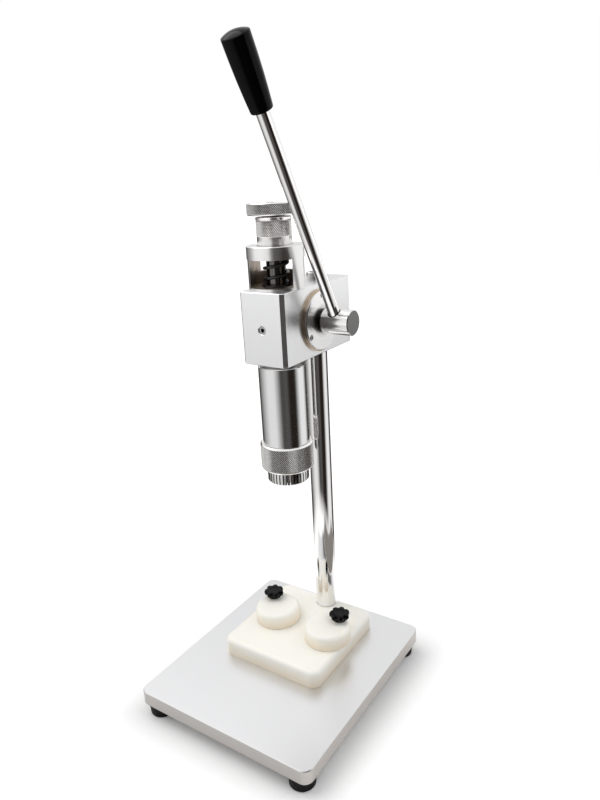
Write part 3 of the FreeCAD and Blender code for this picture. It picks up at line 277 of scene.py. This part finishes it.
def skin(name, points, body, ring=False, crossed=None):
    """Piece from points[row, column]. Columns go round and close; rows close too if ring is set.

    crossed marks the rows of cells that are cut into triangles along alternating diagonals."""
    rows, columns = points.shape[:2]
    index = np.arange(rows * columns).reshape(rows, columns)
    below = index if ring else index[:-1]
    above = np.roll(index, -1, axis=0) if ring else index[1:]
    cells = np.stack([below, np.roll(below, -1, 1), np.roll(above, -1, 1), above], axis=-1)
    if crossed is None:
        crossed = np.zeros(len(below), bool)
    faces = cells[~crossed].reshape(-1, 4).tolist()
    if crossed.any():
        row, column = np.nonzero(np.repeat(crossed[:, None], columns, axis=1))
        a, b, c, d = cells[row, column].T
        even = (row + column) % 2 == 0
        first = np.where(even, [a, b, d], [a, b, c]).T
        second = np.where(even, [b, c, d], [a, c, d]).T
        faces += first.tolist() + second.tolist()
    mesh = bpy.data.meshes.new(name)
    mesh.from_pydata(points.reshape(-1, 3).tolist(), [], faces)
    shape = bmesh.new()
    shape.from_mesh(mesh)
    bmesh.ops.remove_doubles(shape, verts=shape.verts, dist=SAME_POINT)
    bmesh.ops.recalc_face_normals(shape, faces=shape.faces)
    shape.to_mesh(mesh)
    shape.free()
    mesh.shade_smooth()
    mesh.set_sharp_from_angle(angle=SHARP)
    piece = bpy.data.objects.new(name, mesh)
    bpy.context.scene.collection.objects.link(piece)
    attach(piece, body)
    print(name, len(mesh.polygons), "faces")
    return piece


def turned(outline, columns, centre, axes=None):
    """Points of an outline of (radius, height) rows turned about the Z axis, or about that of axes.

    Point = centre + radius * (cos a, sin a, 0) + (0, 0, height), for a round the circle."""
    radius, height = np.asarray(outline, float).T
    angle = 2 * np.pi * np.arange(columns) / columns
    x = radius[:, None] * np.cos(angle)
    y = radius[:, None] * np.sin(angle)
    z = np.broadcast_to(height[:, None], x.shape)
    points = np.stack([x, y, z], axis=-1)
    if axes is not None:
        points = points @ axes.T
    return points + np.asarray(centre)


# %% [markdown]
# ## Knurls
# The nut, the spring cup and the stop knob are gripped with bare fingers, so their rims are
# knurled: two sets of slanting grooves leave small pyramids. A bump map would do from far off, but it
# leaves the outline smooth and fades in other light. Real pyramids cost little here: on a
# grid with two points to a groove, every other point is a tip and the rest lie in the grooves, and the
# cells are cut along the grooves. The outlines below are in millimetres above the foot of each piece.

# %% Knurled ring
MM = 0.001
KNURL = 2.1
KNURL_DEPTH = 0.6
DIAMOND_HEIGHT = 1.15


def knurled(name, body, outer, outline, start, end, base):
    """Turned ring whose outer side is knurled from start to end; returns it and its band in metres.

    outline is the section's other corners, listed from the band's top round to its bottom. The
    radius of band point (row, column) is outer, less the depth where row + column is odd."""
    columns = 2 * round(2 * math.pi * outer / KNURL)
    rows = 2 * round((end - start) / (KNURL * DIAMOND_HEIGHT)) + 1
    rim = np.stack([np.full(rows, outer), np.linspace(start, end, rows)], axis=1)
    section = np.concatenate([rim, outline]) * MM
    points = turned(section, columns, (0, AXIS_BACK, base))
    row, column = np.indices(points.shape[:2])
    sunk = ((row + column) % 2 == 1) & (row < rows)
    outward = points[..., :2] - (0, AXIS_BACK)
    outward /= np.linalg.norm(outward, axis=-1, keepdims=True)
    points[..., :2] -= np.where(sunk[..., None], outward * KNURL_DEPTH * MM, 0)
    crossed = np.arange(len(section)) < rows - 1
    piece = skin(name, points, body, ring=True, crossed=crossed)
    return piece, (outer * MM, base + start * MM, base + end * MM)


# %% Collet nut: a wide bore above, a narrow one for the collet below
NUT_FOOT = 0.2622
nut_radius = 28.3
nut_height = 29.0
nut_bevel = 1.5
nut_land = 0.3
wide_bore = 24.05
narrow_bore = 21.8
nut_knurled, nut_band = knurled(
    "nut_knurled", "nut", nut_radius,
    [(nut_radius - nut_land, nut_height - nut_bevel), (nut_radius - nut_bevel, nut_height),
     (wide_bore, nut_height), (wide_bore, 10.3), (narrow_bore, 9.3), (narrow_bore, 0),
     (nut_radius - nut_bevel, 0), (nut_radius - nut_land, nut_bevel)],
    nut_bevel + nut_land, nut_height - nut_bevel - nut_land, NUT_FOOT)
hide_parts("collet_nut")

# %% Spring cup: plain below, knurled above, with a groove under its top edge
CUP_FOOT = 0.4881
rod_bore = 7.05
spring_bore = 14
cup_radius = 17.4
cup_height = 34.4
cup_top = 4
plain_radius = 17.1
plain_height = 16
groove_depth = 0.4
cup_knurled, cup_band = knurled(
    "cup_knurled", "cup", cup_radius,
    [(cup_radius - 0.2, cup_height - 3.0), (cup_radius - groove_depth, cup_height - 2.7),
     (cup_radius - groove_depth, cup_height - 2.3), (cup_radius, cup_height - 2),
     (cup_radius, cup_height - 0.6), (cup_radius - 0.6, cup_height),
     (rod_bore, cup_height), (rod_bore, cup_height - cup_top),
     (spring_bore, cup_height - cup_top), (spring_bore, 0), (plain_radius - 0.6, 0), (plain_radius, 0.6),
     (plain_radius, plain_height), (cup_radius - 0.2, plain_height + 0.2)],
    plain_height + 0.5, cup_height - 3.2, CUP_FOOT)
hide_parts("spring_cup")

# %% Stop knob: a wide rim round a shallow dish
KNOB_FOOT = 0.5244
knob_radius = 25.5
knob_height = 11.6
knob_bevel = 1
knob_land = 0.25
dish_radius = 22
dish_depth = 0.6
knob_knurled, knob_band = knurled(
    "knob_knurled", "knob", knob_radius,
    [(knob_radius - knob_land, knob_height - knob_bevel), (knob_radius - knob_bevel, knob_height),
     (dish_radius, knob_height), (dish_radius - dish_depth, knob_height - dish_depth),
     (rod_bore, knob_height - dish_depth), (rod_bore, 0), (knob_radius - knob_bevel, 0),
     (knob_radius - knob_land, knob_bevel)],
    knob_bevel + knob_land, knob_height - knob_bevel - knob_land, KNOB_FOOT)
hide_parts("stop_knob")

# %% [markdown]
# ## Return spring
# The spring is wound from round wire with its last half turns closed, so that it stands flat on its
# seat. The CAD solid has eight-sided wire; here the same wire is carried along the helix as a
# smooth tube.

# %% Return spring
SPRING_SEAT = 0.4580
SPRING_TOP = 0.5185
WIRE = 1.6 * MM
COIL = 11.7 * MM
TURNS = 6
CLOSED = 0.5
TURN_STEPS = 48
WIRE_SIDES = 16


def helix_height(turn):
    """Height of the wire's centre after a number of turns: nearly level in the closed ends.

    Height = seat + wire + free length * share. The share adds up a grade that rises smoothly from 0
    at either end to 1 where the closed half turn is over."""
    grade = np.clip(np.minimum(turn, TURNS - turn) / CLOSED, 0, 1)
    step = np.cumsum(grade ** 2 * (3 - 2 * grade))
    share = (step - step[0]) / (step[-1] - step[0])
    return SPRING_SEAT + WIRE + (SPRING_TOP - SPRING_SEAT - 2 * WIRE) * share


def wound():
    """Tube round the helix, its ends closed by a point.

    Point = centre(t) + wire * (cos s * out + sin s * side): out is away from the axis, side across
    both out and the wire."""
    turn = np.linspace(0, TURNS, TURN_STEPS * TURNS + 1)
    angle = 2 * np.pi * turn
    out = np.stack([np.cos(angle), np.sin(angle), np.zeros_like(angle)], axis=-1)
    centre = out * COIL + (0, AXIS_BACK, 0)
    centre[:, 2] = helix_height(turn)
    run = np.gradient(centre, axis=0)
    run /= np.linalg.norm(run, axis=1, keepdims=True)
    side = np.cross(run, out)
    around = 2 * np.pi * np.arange(WIRE_SIDES) / WIRE_SIDES
    ring = np.cos(around)[None, :, None] * out[:, None] + np.sin(around)[None, :, None] * side[:, None]
    tube = centre[:, None] + WIRE * ring
    start = centre[:1, None].repeat(WIRE_SIDES, 1)
    end = centre[-1:, None].repeat(WIRE_SIDES, 1)
    return np.concatenate([start, tube, end])


spring_wound = skin("spring_wound", wound(), "frame")
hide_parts("return_spring")
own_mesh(spring_wound)

# %% [markdown]
# ## Star knobs and grip
# Both are moulded black plastic. A moulded edge is never sharp, so the lobes are
# rounded every way. A formula for the outline's radius round the knob, times an outline for its
# rounded rim, gives the whole surface at once. The grip is a turned shape whose sides swell a little.

# %% Star knobs
LOBES = 7
LOBE_STEPS = 16
STAR_RADIUS = 12 * MM
STAR_NOTCH = 2.5 * MM
STAR_SEAT = 0.0688
STUD_BACK = 0.048
RIM_MIDDLE = 5.75
RIM_HALF = 3.25
RIM_ROUND = 0.17
STAR_FOOT = [(0, 7.2), (4.55, 7.2), (4.55, 0), (6.2, 0), (6.5, 2.5)]
STAR_CROWN = [(6.2, 9.0), (5.2, 8.9), (4.6, 8.3), (0, 8.3)]


def star_points(across, turn):
    """Rows of the foot, the lobed rim and the crown, from the middle below to the middle above.

    Radius = plain + share * (R - notch * ((1 - cos 7a) / 2) ** 1.5), for a round the knob. The foot
    and crown have plain radii and no share; the rim has no plain radius."""
    angle = 2 * np.pi * np.arange(LOBES * LOBE_STEPS) / (LOBES * LOBE_STEPS)
    lobed = STAR_RADIUS - STAR_NOTCH * ((1 - np.cos(LOBES * angle)) / 2) ** 1.5
    bend = np.linspace(-np.pi / 2, np.pi / 2, 9)
    rim = [(1 - RIM_ROUND + RIM_ROUND * math.cos(b), 0, RIM_MIDDLE + RIM_HALF * math.sin(b)) for b in bend]
    rows = [(0, *corner) for corner in STAR_FOOT] + rim + [(0, *corner) for corner in STAR_CROWN]
    share, plain, height = np.array(rows).T
    radius = share[:, None] * lobed + plain[:, None] * MM
    points = np.stack([radius * np.cos(angle + turn), radius * np.sin(angle + turn),
                       np.broadcast_to(height[:, None] * MM, radius.shape)], axis=-1)
    return points + (across, STUD_BACK, STAR_SEAT)


stars = []
for hand, across, turn in (("left", -0.0478, 0.2), ("right", 0.0452, 0.0)):
    star = skin(f"{hand}_star_moulded", star_points(across, turn), f"{hand}_star")
    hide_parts(f"{hand}_star_knob")
    stars.append(star)

# %% Grip: sizes in millimetres along the lever
PIVOT = (0.0484, 0.0600, 0.4165)
LEAN = math.radians(28.8)
GRIP_START = 220.5
GRIP_LENGTH = 61.5
GRIP_COLUMNS = 64
SIDE_TOP = 57.7
EDGE_ROUND = 1.2
SWELL = [(1, 9.75), (14, 10.65), (26, 11.3), (40, 11.72), (52, 11.9), (SIDE_TOP, 11.9)]
ROD_SOCKET = [(0, 37.5), (6.05, 37.5), (6.05, 0), (8.9, 0), (9.5, 0.3)]


def grip_outline():
    """Rows of (radius, height): mouth, swelling side, rounded edge, low dome.

    The edge is an arc of 62 degrees and the dome a parabola from the edge to the middle."""
    place, radius = np.array(SWELL).T
    height = np.linspace(place[0], SIDE_TOP, 16)
    side = np.stack([np.interp(height, place, radius), height], axis=1)
    bend = np.radians(np.linspace(0, 62, 6))[1:]
    edge_radius = radius[-1] - EDGE_ROUND * (1 - np.cos(bend))
    edge = np.stack([edge_radius, SIDE_TOP + EDGE_ROUND * np.sin(bend)], axis=1)
    dome_radius, dome_foot = edge[-1]
    out = np.linspace(1, 0, 9)[1:]
    dome = np.stack([dome_radius * out, dome_foot + (GRIP_LENGTH - dome_foot) * (1 - out ** 2)], axis=1)
    return np.concatenate([ROD_SOCKET, side, edge, dome]) * MM


grip_start = np.array(PIVOT) + GRIP_START * MM * np.array([0, -math.sin(LEAN), math.cos(LEAN)])
lean_axes = np.array(Matrix.Rotation(LEAN, 3, "X"))
grip_moulded = skin("grip_moulded", turned(grip_outline(), GRIP_COLUMNS, grip_start, lean_axes),
                    "lever")
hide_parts("lever_grip")

# %% [markdown]
# ## Metal finishes
# Four metals show: satin steel on the block, base and cage, polished chrome on the column, sleeve and
# rod, blackened steel inside the spring, and a bronze flange behind the cover. Metal has hardly any
# colour of its own: what makes it look right is how rough it is, so each finish is mostly a
# roughness with a fine grain in it. On the sleeve, the cage and the shaft the grain is drawn out the
# way a lathe leaves it. The quill is painted dark as painted shade in the gap under the block, and the
# heads of the cover's screws are a darker grey.

# %% Metals of one colour
TOOL_MARKS = 0.5 * MM
ROUND_SPINDLE = (20, 20, 1)


def metal(name, colour, least, most, size, stretch, *pieces):
    """Dress pieces in a metal whose roughness wanders from least to most; returns its finish."""
    finish = Finish(name, base_color=colour, metallic=1.0)
    finish.feed("Roughness", finish.roughness(least, most, size, stretch))
    dress(finish, *pieces)
    return finish


satin = metal("satin_block", (0.78, 0.782, 0.786), 0.27, 0.33, 1.2 * MM, EVEN, "head_block", "pinion_gear")
satin.roughen(satin.grain(0.35 * MM), 0.01 * MM, 0.5)
# Painted shade: the quill is painted dark where it shows in the gap between the block and the sleeve.
metal("quill_gap_shade", (0.22, 0.21, 0.20), 0.26, 0.34, TOOL_MARKS, ROUND_SPINDLE, "quill")
metal("chrome_bars", (0.87, 0.86, 0.855), 0.06, 0.10, 8 * MM, (1, 1, 6), "column", "lever_rod")
metal("turned_sleeve", (0.81, 0.81, 0.81), 0.11, 0.17, TOOL_MARKS, ROUND_SPINDLE, "outer_sleeve")
metal("bright_screws", (0.60, 0.59, 0.58), 0.16, 0.28, 0.4 * MM, EVEN,
      "foot_screws", "column_washer", "column_bolt", "nest_screws", "disc_studs", "disc_washers",
      "column_top_screw", "column_lock_screw", "gear_key", "gear_circlip", "lever_lock_screw")
metal("cover_screw_heads", (0.34, 0.33, 0.32), 0.18, 0.30, 0.4 * MM, EVEN, "cover_screws")
metal("bronze_flange", (0.54, 0.44, 0.33), 0.15, 0.25, TOOL_MARKS, EVEN, "flanged_bush", "blind_bush")
metal("brass_inserts", (0.80, 0.62, 0.32), 0.24, 0.36, TOOL_MARKS, EVEN,
      "left_star_knob_insert", "right_star_knob_insert", "centre_presser")
metal("polished_guide", (0.10, 0.095, 0.09), 0.07, 0.13, TOOL_MARKS, ROUND_SPINDLE, "draw_rod")

# %% Cage: turned outside, rougher where it is bored and milled, and darker there with painted shade
CAGE_OUTSIDE = 27.6 * MM
CAGE_RING = 0.4834
cage = Finish("turned_cage", metallic=1.0)
inside = (cage.from_spindle() < CAGE_OUTSIDE) * (cage.axes()[2] < CAGE_RING)
# Painted shade: the inside is painted darker and browner; the extra roughness there is the milled finish.
cage.feed("Base Color", cage.blend(inside, (0.77, 0.765, 0.76), (0.42, 0.36, 0.31)))
cage.feed("Roughness", inside * 0.1 + cage.roughness(0.26, 0.32, TOOL_MARKS, ROUND_SPINDLE))
dress(cage, "spring_cage")

# %% Base plate: bright ground top, darker milled sides with painted shade, the right one lighter with painted light
BASE_BEVEL = 29.9 * MM
BASE_CORNER = 8 * MM
base = Finish("base_ground_top", metallic=1.0)
x, _, z = base.axes()
base_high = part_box("base_plate")[1]
to_right = ((x - (base_high[0] - BASE_CORNER)) / BASE_CORNER).clamped()
# The sides are partly a darker milled finish and partly painted shade; the right side is painted lighter as
# painted light.
side_tone = base.blend(to_right, (0.47, 0.445, 0.425), (0.58, 0.545, 0.515))
base.feed("Base Color", base.blend(z < BASE_BEVEL, (0.77, 0.772, 0.78), side_tone))
base.feed("Roughness", base.roughness(0.29, 0.37, TOOL_MARKS, (60, 1, 1)))
dress(base, "base_plate")

# %% Shaft: polished hub with a dull sawn end, with painted shade in the running gap and round the rod's mouth
SAWN_END = 66.9 * MM
RUNNING_GAP = (31.5 * MM, 35.3 * MM)
ROD_MOUTH = 6.9 * MM
ROUND_SHAFT = (1, 20, 20)
shaft = Finish("shaft_hub", metallic=1.0)
x, y, z = shaft.axes()
sawn = x > SAWN_END
in_gap = (x > RUNNING_GAP[0]) * (x < RUNNING_GAP[1])
back = y - PIVOT[1]
up = z - PIVOT[2]
from_rod = shaft.length(x - PIVOT[0], back * math.cos(LEAN) + up * math.sin(LEAN))
above_shaft = up * math.cos(LEAN) - back * math.sin(LEAN) > 0
# Painted shade: the running gap and the rod's mouth are painted nearly black.
painted_gap_shade = (in_gap + (from_rod < ROD_MOUTH) * above_shaft).clamped()
hub_and_end_tone = shaft.blend(sawn, (0.84, 0.83, 0.82), (0.17, 0.17, 0.167))
shaft.feed("Base Color", shaft.blend(painted_gap_shade, hub_and_end_tone, (0.03, 0.028, 0.026)))
shaft.feed("Roughness", sawn * 0.2 + shaft.roughness(0.13, 0.18, TOOL_MARKS, ROUND_SHAFT))
dress(shaft, "lever_shaft")

# %% Knurled rims: bright tips, with painted shade dark in the grooves
TIP = 0.05 * MM
DARK_DEPTH = 0.6 * KNURL_DEPTH * MM
RIM_DEPTH = 1.2 * MM
knurled_rims = [(nut_knurled, nut_band, 0.38), (cup_knurled, cup_band, 0.52), (knob_knurled, knob_band, 0.26)]
for piece, (outer, bottom, top), groove in knurled_rims:
    knurl = Finish(f"{piece.name}_steel", metallic=1.0)
    z = knurl.axes()[2]
    from_axis = knurl.from_spindle()
    # Painted shade: the grooves are painted darker the deeper they lie.
    depth = ((outer - TIP - from_axis) / DARK_DEPTH).clamped()
    on_rim = (z > bottom) * (z < top) * (from_axis > outer - RIM_DEPTH)
    painted_groove_shade = (groove, groove * 0.98, groove * 0.95)
    knurl.feed("Base Color", knurl.blend(depth * on_rim, (0.9, 0.885, 0.865), painted_groove_shade))
    knurl.feed("Roughness", knurl.roughness(0.18, 0.26, 0.6 * MM))
    dress(knurl, piece)

# %% Collet: fingers bright outside, with painted shade in the bore and in the slots
SLOTS = 36
SLOT_COSINE = 0.45
COLLET_BORE = 20.8 * MM
UPRIGHT = (1, 1, 20)
fingers = Finish("collet_fingers", metallic=1.0)
x, y, _ = fingers.axes()
round_axis = fingers.maths("ARCTAN2", y - AXIS_BACK, x)
in_slot = fingers.maths("COSINE", round_axis * SLOTS) > SLOT_COSINE
# Painted shade: the slots and the bore are painted nearly black.
painted_slot_shade = (in_slot + (fingers.from_spindle() < COLLET_BORE)).clamped()
fingers.feed("Base Color", fingers.blend(painted_slot_shade, (0.74, 0.735, 0.72), (0.02, 0.019, 0.018)))
fingers.feed("Roughness", fingers.roughness(0.15, 0.25, TOOL_MARKS, UPRIGHT))
dress(fingers, "collet")

# %% Bearing cover: faced on a lathe, with painted shade and reflection of the hub round the shaft
HUB_SHADE_EDGE = 18 * MM
HUB_SHADE_FADE = 8 * MM
cover = Finish("cover_plate", metallic=1.0)
_, y, z = cover.axes()
from_shaft = cover.length(y - PIVOT[1], z - PIVOT[2])
# Painted shade and reflection of the hub: the face is painted darker round the shaft.
near_hub = ((HUB_SHADE_EDGE - from_shaft) / HUB_SHADE_FADE).clamped()
cover.feed("Base Color", cover.blend(near_hub, (0.83, 0.825, 0.82), (0.42, 0.405, 0.39)))
cover.feed("Roughness", cover.lathe_lines(from_shaft, TOOL_MARKS) * 0.1 + near_hub * 0.1 + 0.19)
dress(cover, "bearing_cover")

# %% Guide screw: bright rim round a socket darkened with painted shade
SOCKET_SHARE = 0.27
socketed = Finish("guide_screw", metallic=1.0)
screw_low, screw_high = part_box("guide_screw")
x, _, z = socketed.axes()
side_on = x - (screw_low[0] + screw_high[0]) / 2
up_face = z - (screw_low[2] + screw_high[2]) / 2
from_middle = socketed.length(side_on, up_face)
# Painted shade: the socket is painted nearly black.
socket_shade_mask = from_middle < (screw_high[0] - screw_low[0]) * SOCKET_SHARE
socketed.feed("Base Color", socketed.blend(socket_shade_mask, (0.46, 0.45, 0.44), (0.03, 0.03, 0.03)))
socketed.feed("Roughness", socketed.roughness(0.15, 0.27, 0.4 * MM))
dress(socketed, "guide_screw")

# %% Blackened steel: its skin is an oxide, so it isn't metallic
black_steel = Finish("blackened_steel", base_color=(0.02, 0.02, 0.02), metallic=0.0)
black_steel.feed("Roughness", black_steel.roughness(0.16, 0.28, 1 * MM))
dress(black_steel, spring_wound, "spring_seat", "knob_spacer")

# %% [markdown]
# ## Plastics and rubber
# The nest plate and its discs are milky plastic: light goes in at the top and comes out warmer at
# the sides. Subsurface scattering does part of that, and painted shade, a warmer and darker colour
# low down, does the rest. The grip and star knobs are gloss black, where only the reflections show,
# and the feet are dull rubber.

# %% Milky plastic
WARM_HEIGHT = 16 * MM


def milky(name, *pieces):
    """White plastic with painted warm shade: warmer and darker low down."""
    plastic = Finish(name, subsurface_weight=0.3, subsurface_radius=(1.0, 0.85, 0.6), subsurface_scale=0.003)
    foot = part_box(pieces[0])[0][2]
    # Painted shade: the plastic is painted warmer and darker low down.
    painted_warm_shade = ((foot + WARM_HEIGHT - plastic.axes()[2]) / WARM_HEIGHT).clamped()
    plastic.feed("Base Color", plastic.blend(painted_warm_shade, (0.955, 0.93, 0.86), (0.86, 0.75, 0.59)))
    plastic.feed("Roughness", plastic.roughness(0.39, 0.45, 1.5 * MM))
    plastic.roughen(plastic.grain(0.8 * MM), 0.01 * MM, 0.3)
    dress(plastic, *pieces)


milky("milky_plate", "nest_plate")
milky("milky_discs", "left_disc", "right_disc")


# %% Gloss black and rubber
def black(name, grey, specular, least, most, size, *pieces):
    """Dress pieces in black plastic or rubber whose roughness wanders; returns its finish."""
    finish = Finish(name, base_color=(grey, grey, grey), specular_ior_level=specular)
    finish.feed("Roughness", finish.roughness(least, most, size))
    dress(finish, *pieces)
    return finish


black("gloss_black", 0.001, 0.08, 0.05, 0.10, 2 * MM, grip_moulded)
black("moulded_black", 0.001, 0.12, 0.08, 0.16, 1.2 * MM, *stars)
rubber = black("rubber_feet", 0.004, 0.12, 0.45, 0.65, 0.8 * MM, "rubber_feet")
rubber.roughen(rubber.grain(0.5 * MM), 0.05 * MM, 0.4)
print(len(bpy.data.materials), "finishes")

# %% [markdown]
# ## Studio
# Bright metal shows the room, so the room is half of the picture. It is white all round, with two
# wide soft lamps far above, of which metal mirrors the left one alone. Without anything dark to mirror,
# chrome would vanish on white, so photographers hang dark cards round the press. Here the cards are
# seen by reflections alone: a low ring whose brightness changes with the direction, a tall card on
# either side that carries the ring's bands up to the block and the rod, and a grey card beside the
# base for the column, which is painted shade standing where the floor beside the base is in shade.

# %% Floor: its glow painted dimmer close to the base, as painted shadow
FLOOR_REACH = 30.0
SHADE_WIDTH = 0.06
floor_mesh = bpy.data.meshes.new("floor")
corners = [(-1, -1, 0), (1, -1, 0), (1, 1, 0), (-1, 1, 0)]
floor_mesh.from_pydata([(FLOOR_REACH * x, FLOOR_REACH * y, z) for x, y, z in corners], [], [(0, 1, 2, 3)])
floor = bpy.data.objects.new("floor", floor_mesh)
bpy.context.scene.collection.objects.link(floor)
paper = Finish("white_paper", base_color=(0.94, 0.94, 0.94), roughness=1.0, specular_ior_level=0.0,
               emission_strength=1.0)
seen = paper.node("LightPath", output="Is Camera Ray")
glossy = paper.node("LightPath", output="Is Glossy Ray")
x, y, _ = paper.axes()
beyond_side = paper.maths("MAXIMUM", abs(x) - base_high[0], 0)
beyond_front = paper.maths("MAXIMUM", abs(y) - base_high[1], 0)
from_base = paper.length(beyond_side, beyond_front)
# Painted shadow: the floor's glow is dimmer close to the base.
glow_with_painted_shadow = (from_base / SHADE_WIDTH).clamped() * 0.2 + 0.04
paper.feed("Emission Color", paper.blend((seen + glossy).clamped() * glow_with_painted_shadow, (0, 0, 0), (1, 1, 1)))
dress(paper, floor)

# %% World: white behind the press, a little dimmer as light
WORLD_LIGHT = 0.62
world = bpy.data.worlds.new("studio")
bpy.context.scene.world = world
world.use_nodes = True
nodes, links = world.node_tree.nodes, world.node_tree.links
background = nodes["Background"]
path = nodes.new("ShaderNodeLightPath")
direct = nodes.new("ShaderNodeMath")
direct.operation = "MAXIMUM"
mirror = nodes.new("ShaderNodeMath")
mirror.operation = "MAXIMUM"
strength = nodes.new("ShaderNodeMapRange")
strength.inputs["To Min"].default_value = WORLD_LIGHT
strength.inputs["To Max"].default_value = 1.0
links.new(path.outputs["Is Camera Ray"], direct.inputs[0])
links.new(path.outputs["Is Glossy Ray"], direct.inputs[1])
links.new(direct.outputs[0], mirror.inputs[0])
links.new(path.outputs["Is Transmission Ray"], mirror.inputs[1])
links.new(mirror.outputs[0], strength.inputs["Value"])
links.new(strength.outputs[0], background.inputs["Strength"])
background.inputs["Color"].default_value = (1, 1, 1, 1)
print("the world lights at", WORLD_LIGHT)

# %% Lamps
LAMP_WIDTH = 50


def soft_lamp(name, turn, rise, strength, mirrored):
    """Wide far lamp, from a turn round the press and a rise above the floor, both in degrees.

    Metal mirrors it if mirrored is set; otherwise it lights the plastics and the floor alone."""
    light = bpy.data.lights.new(name, "SUN")
    light.energy = strength
    light.angle = math.radians(LAMP_WIDTH)
    lamp = bpy.data.objects.new(name, light)
    towards = seen_from(math.radians(turn), math.radians(rise))
    lamp.matrix_world = towards.to_track_quat("Z", "Y").to_matrix().to_4x4()
    lamp.visible_glossy = mirrored
    bpy.context.scene.collection.objects.link(lamp)
    print(name, "lamp at", turn, "and", rise, "degrees")


soft_lamp("key", -75, 58, 1.05, True)
soft_lamp("right", 125, 48, 0.5, False)

# %% Cards: a ring of white and dark sheets with soft edges, two tall cards, and a grey one as painted shade beside the base
CARDS = [
    (-180, -110, 0.05),
    (-45, -10, 0.92),
    (24, 36, 0.06),
    (43, 52, 0.08),
    (66, 94, 0.0),
    (118, 148, 1.0),
    (164, 180, 0.05)]
BROWN_CARD = (0.020, 0.015, 0.012)
WHITE_CARD = (0.93, 0.93, 0.93)
SHADE_CARD_GREY = (0.26, 0.24, 0.22)
RING_START = 0.25
RING_FADE = 0.10
WALL = 1.7
WALL_FOOT = 0.12
CARD_STEP = 5
NEAR_GAP = 0.0025
NEAR_WIDTH = 0.11
NEAR_HEIGHT = 0.031
NEAR_ENDS = (-0.10, 0.25)
UNLIT = {"base_color": (0, 0, 0), "roughness": 1.0, "specular_ior_level": 0.0, "emission_strength": 1.0}
tone = Finish("card_ring", **UNLIT)
x, y, _ = tone.axes()
direction = tone.maths("ARCTAN2", x, 0 - y) / (2 * math.pi) + 0.5
edges = [(edge / 360 + 0.5, grey) for start, end, grey in CARDS for edge in (start, end)]
level = tone.node("ValToRGB", {"stops": edges}, {"Fac": direction})
tone.feed("Emission Color", tone.blend(level, BROWN_CARD, WHITE_CARD))
tone.feed("Alpha", ((tone.length(x, y) - RING_START) / RING_FADE).clamped())
near_shade_tone = Finish("near_shade_card", emission_color=SHADE_CARD_GREY, **UNLIT)


def reflected_card(name, finish, points):
    """Card from a grid of points[row, column], seen by reflections alone."""
    index = np.arange(points.shape[0] * points.shape[1]).reshape(points.shape[:2])
    cells = np.stack([index[:-1, :-1], index[:-1, 1:], index[1:, 1:], index[1:, :-1]], axis=-1)
    mesh = bpy.data.meshes.new(name)
    mesh.from_pydata(points.reshape(-1, 3).tolist(), [], cells.reshape(-1, 4).tolist())
    card = bpy.data.objects.new(name, mesh)
    bpy.context.scene.collection.objects.link(card)
    card.visible_camera = False
    card.visible_diffuse = False
    card.visible_shadow = False
    card.visible_transmission = False
    dress(finish, card)


def curved(outline, first, last):
    """Points of a card turned round the press from one direction to another, in degrees.

    Point = (r sin a, -r cos a, height), for the outline's rows of (r, height) in metres and a turn a."""
    turn = np.radians(np.arange(first, last + 1, CARD_STEP))
    radius, height = np.asarray(outline, float).T
    return np.stack([radius[:, None] * np.sin(turn), -radius[:, None] * np.cos(turn),
                     np.broadcast_to(height[:, None], (len(radius), len(turn)))], axis=-1)


low_ring = [(RING_START, 0.004), (0.7, 0.006), (1.5, 0.03), (WALL, WALL_FOOT)]
reflected_card("low_cards", tone, curved(low_ring, -180, 180))
reflected_card("tall_right_card", tone, curved([(WALL, WALL_FOOT), (WALL, 1.9)], 15, 100))
reflected_card("tall_left_card", tone, curved([(WALL, WALL_FOOT), (WALL, 0.62)], -175, -60))
# Painted shade: a grey card, seen in reflections alone, stands where the floor beside the base is in shade.
beside = base_high[0] + NEAR_GAP
near_sides = (beside, beside + NEAR_WIDTH)
near_corners = [[(across, back, NEAR_HEIGHT) for back in NEAR_ENDS] for across in near_sides]
reflected_card("near_shade_card", near_shade_tone, np.array(near_corners))

# %% [markdown]
# ## View
# The Standard view shows colours as they are written.

# %% View
bpy.context.scene.view_settings.view_transform = "Standard"
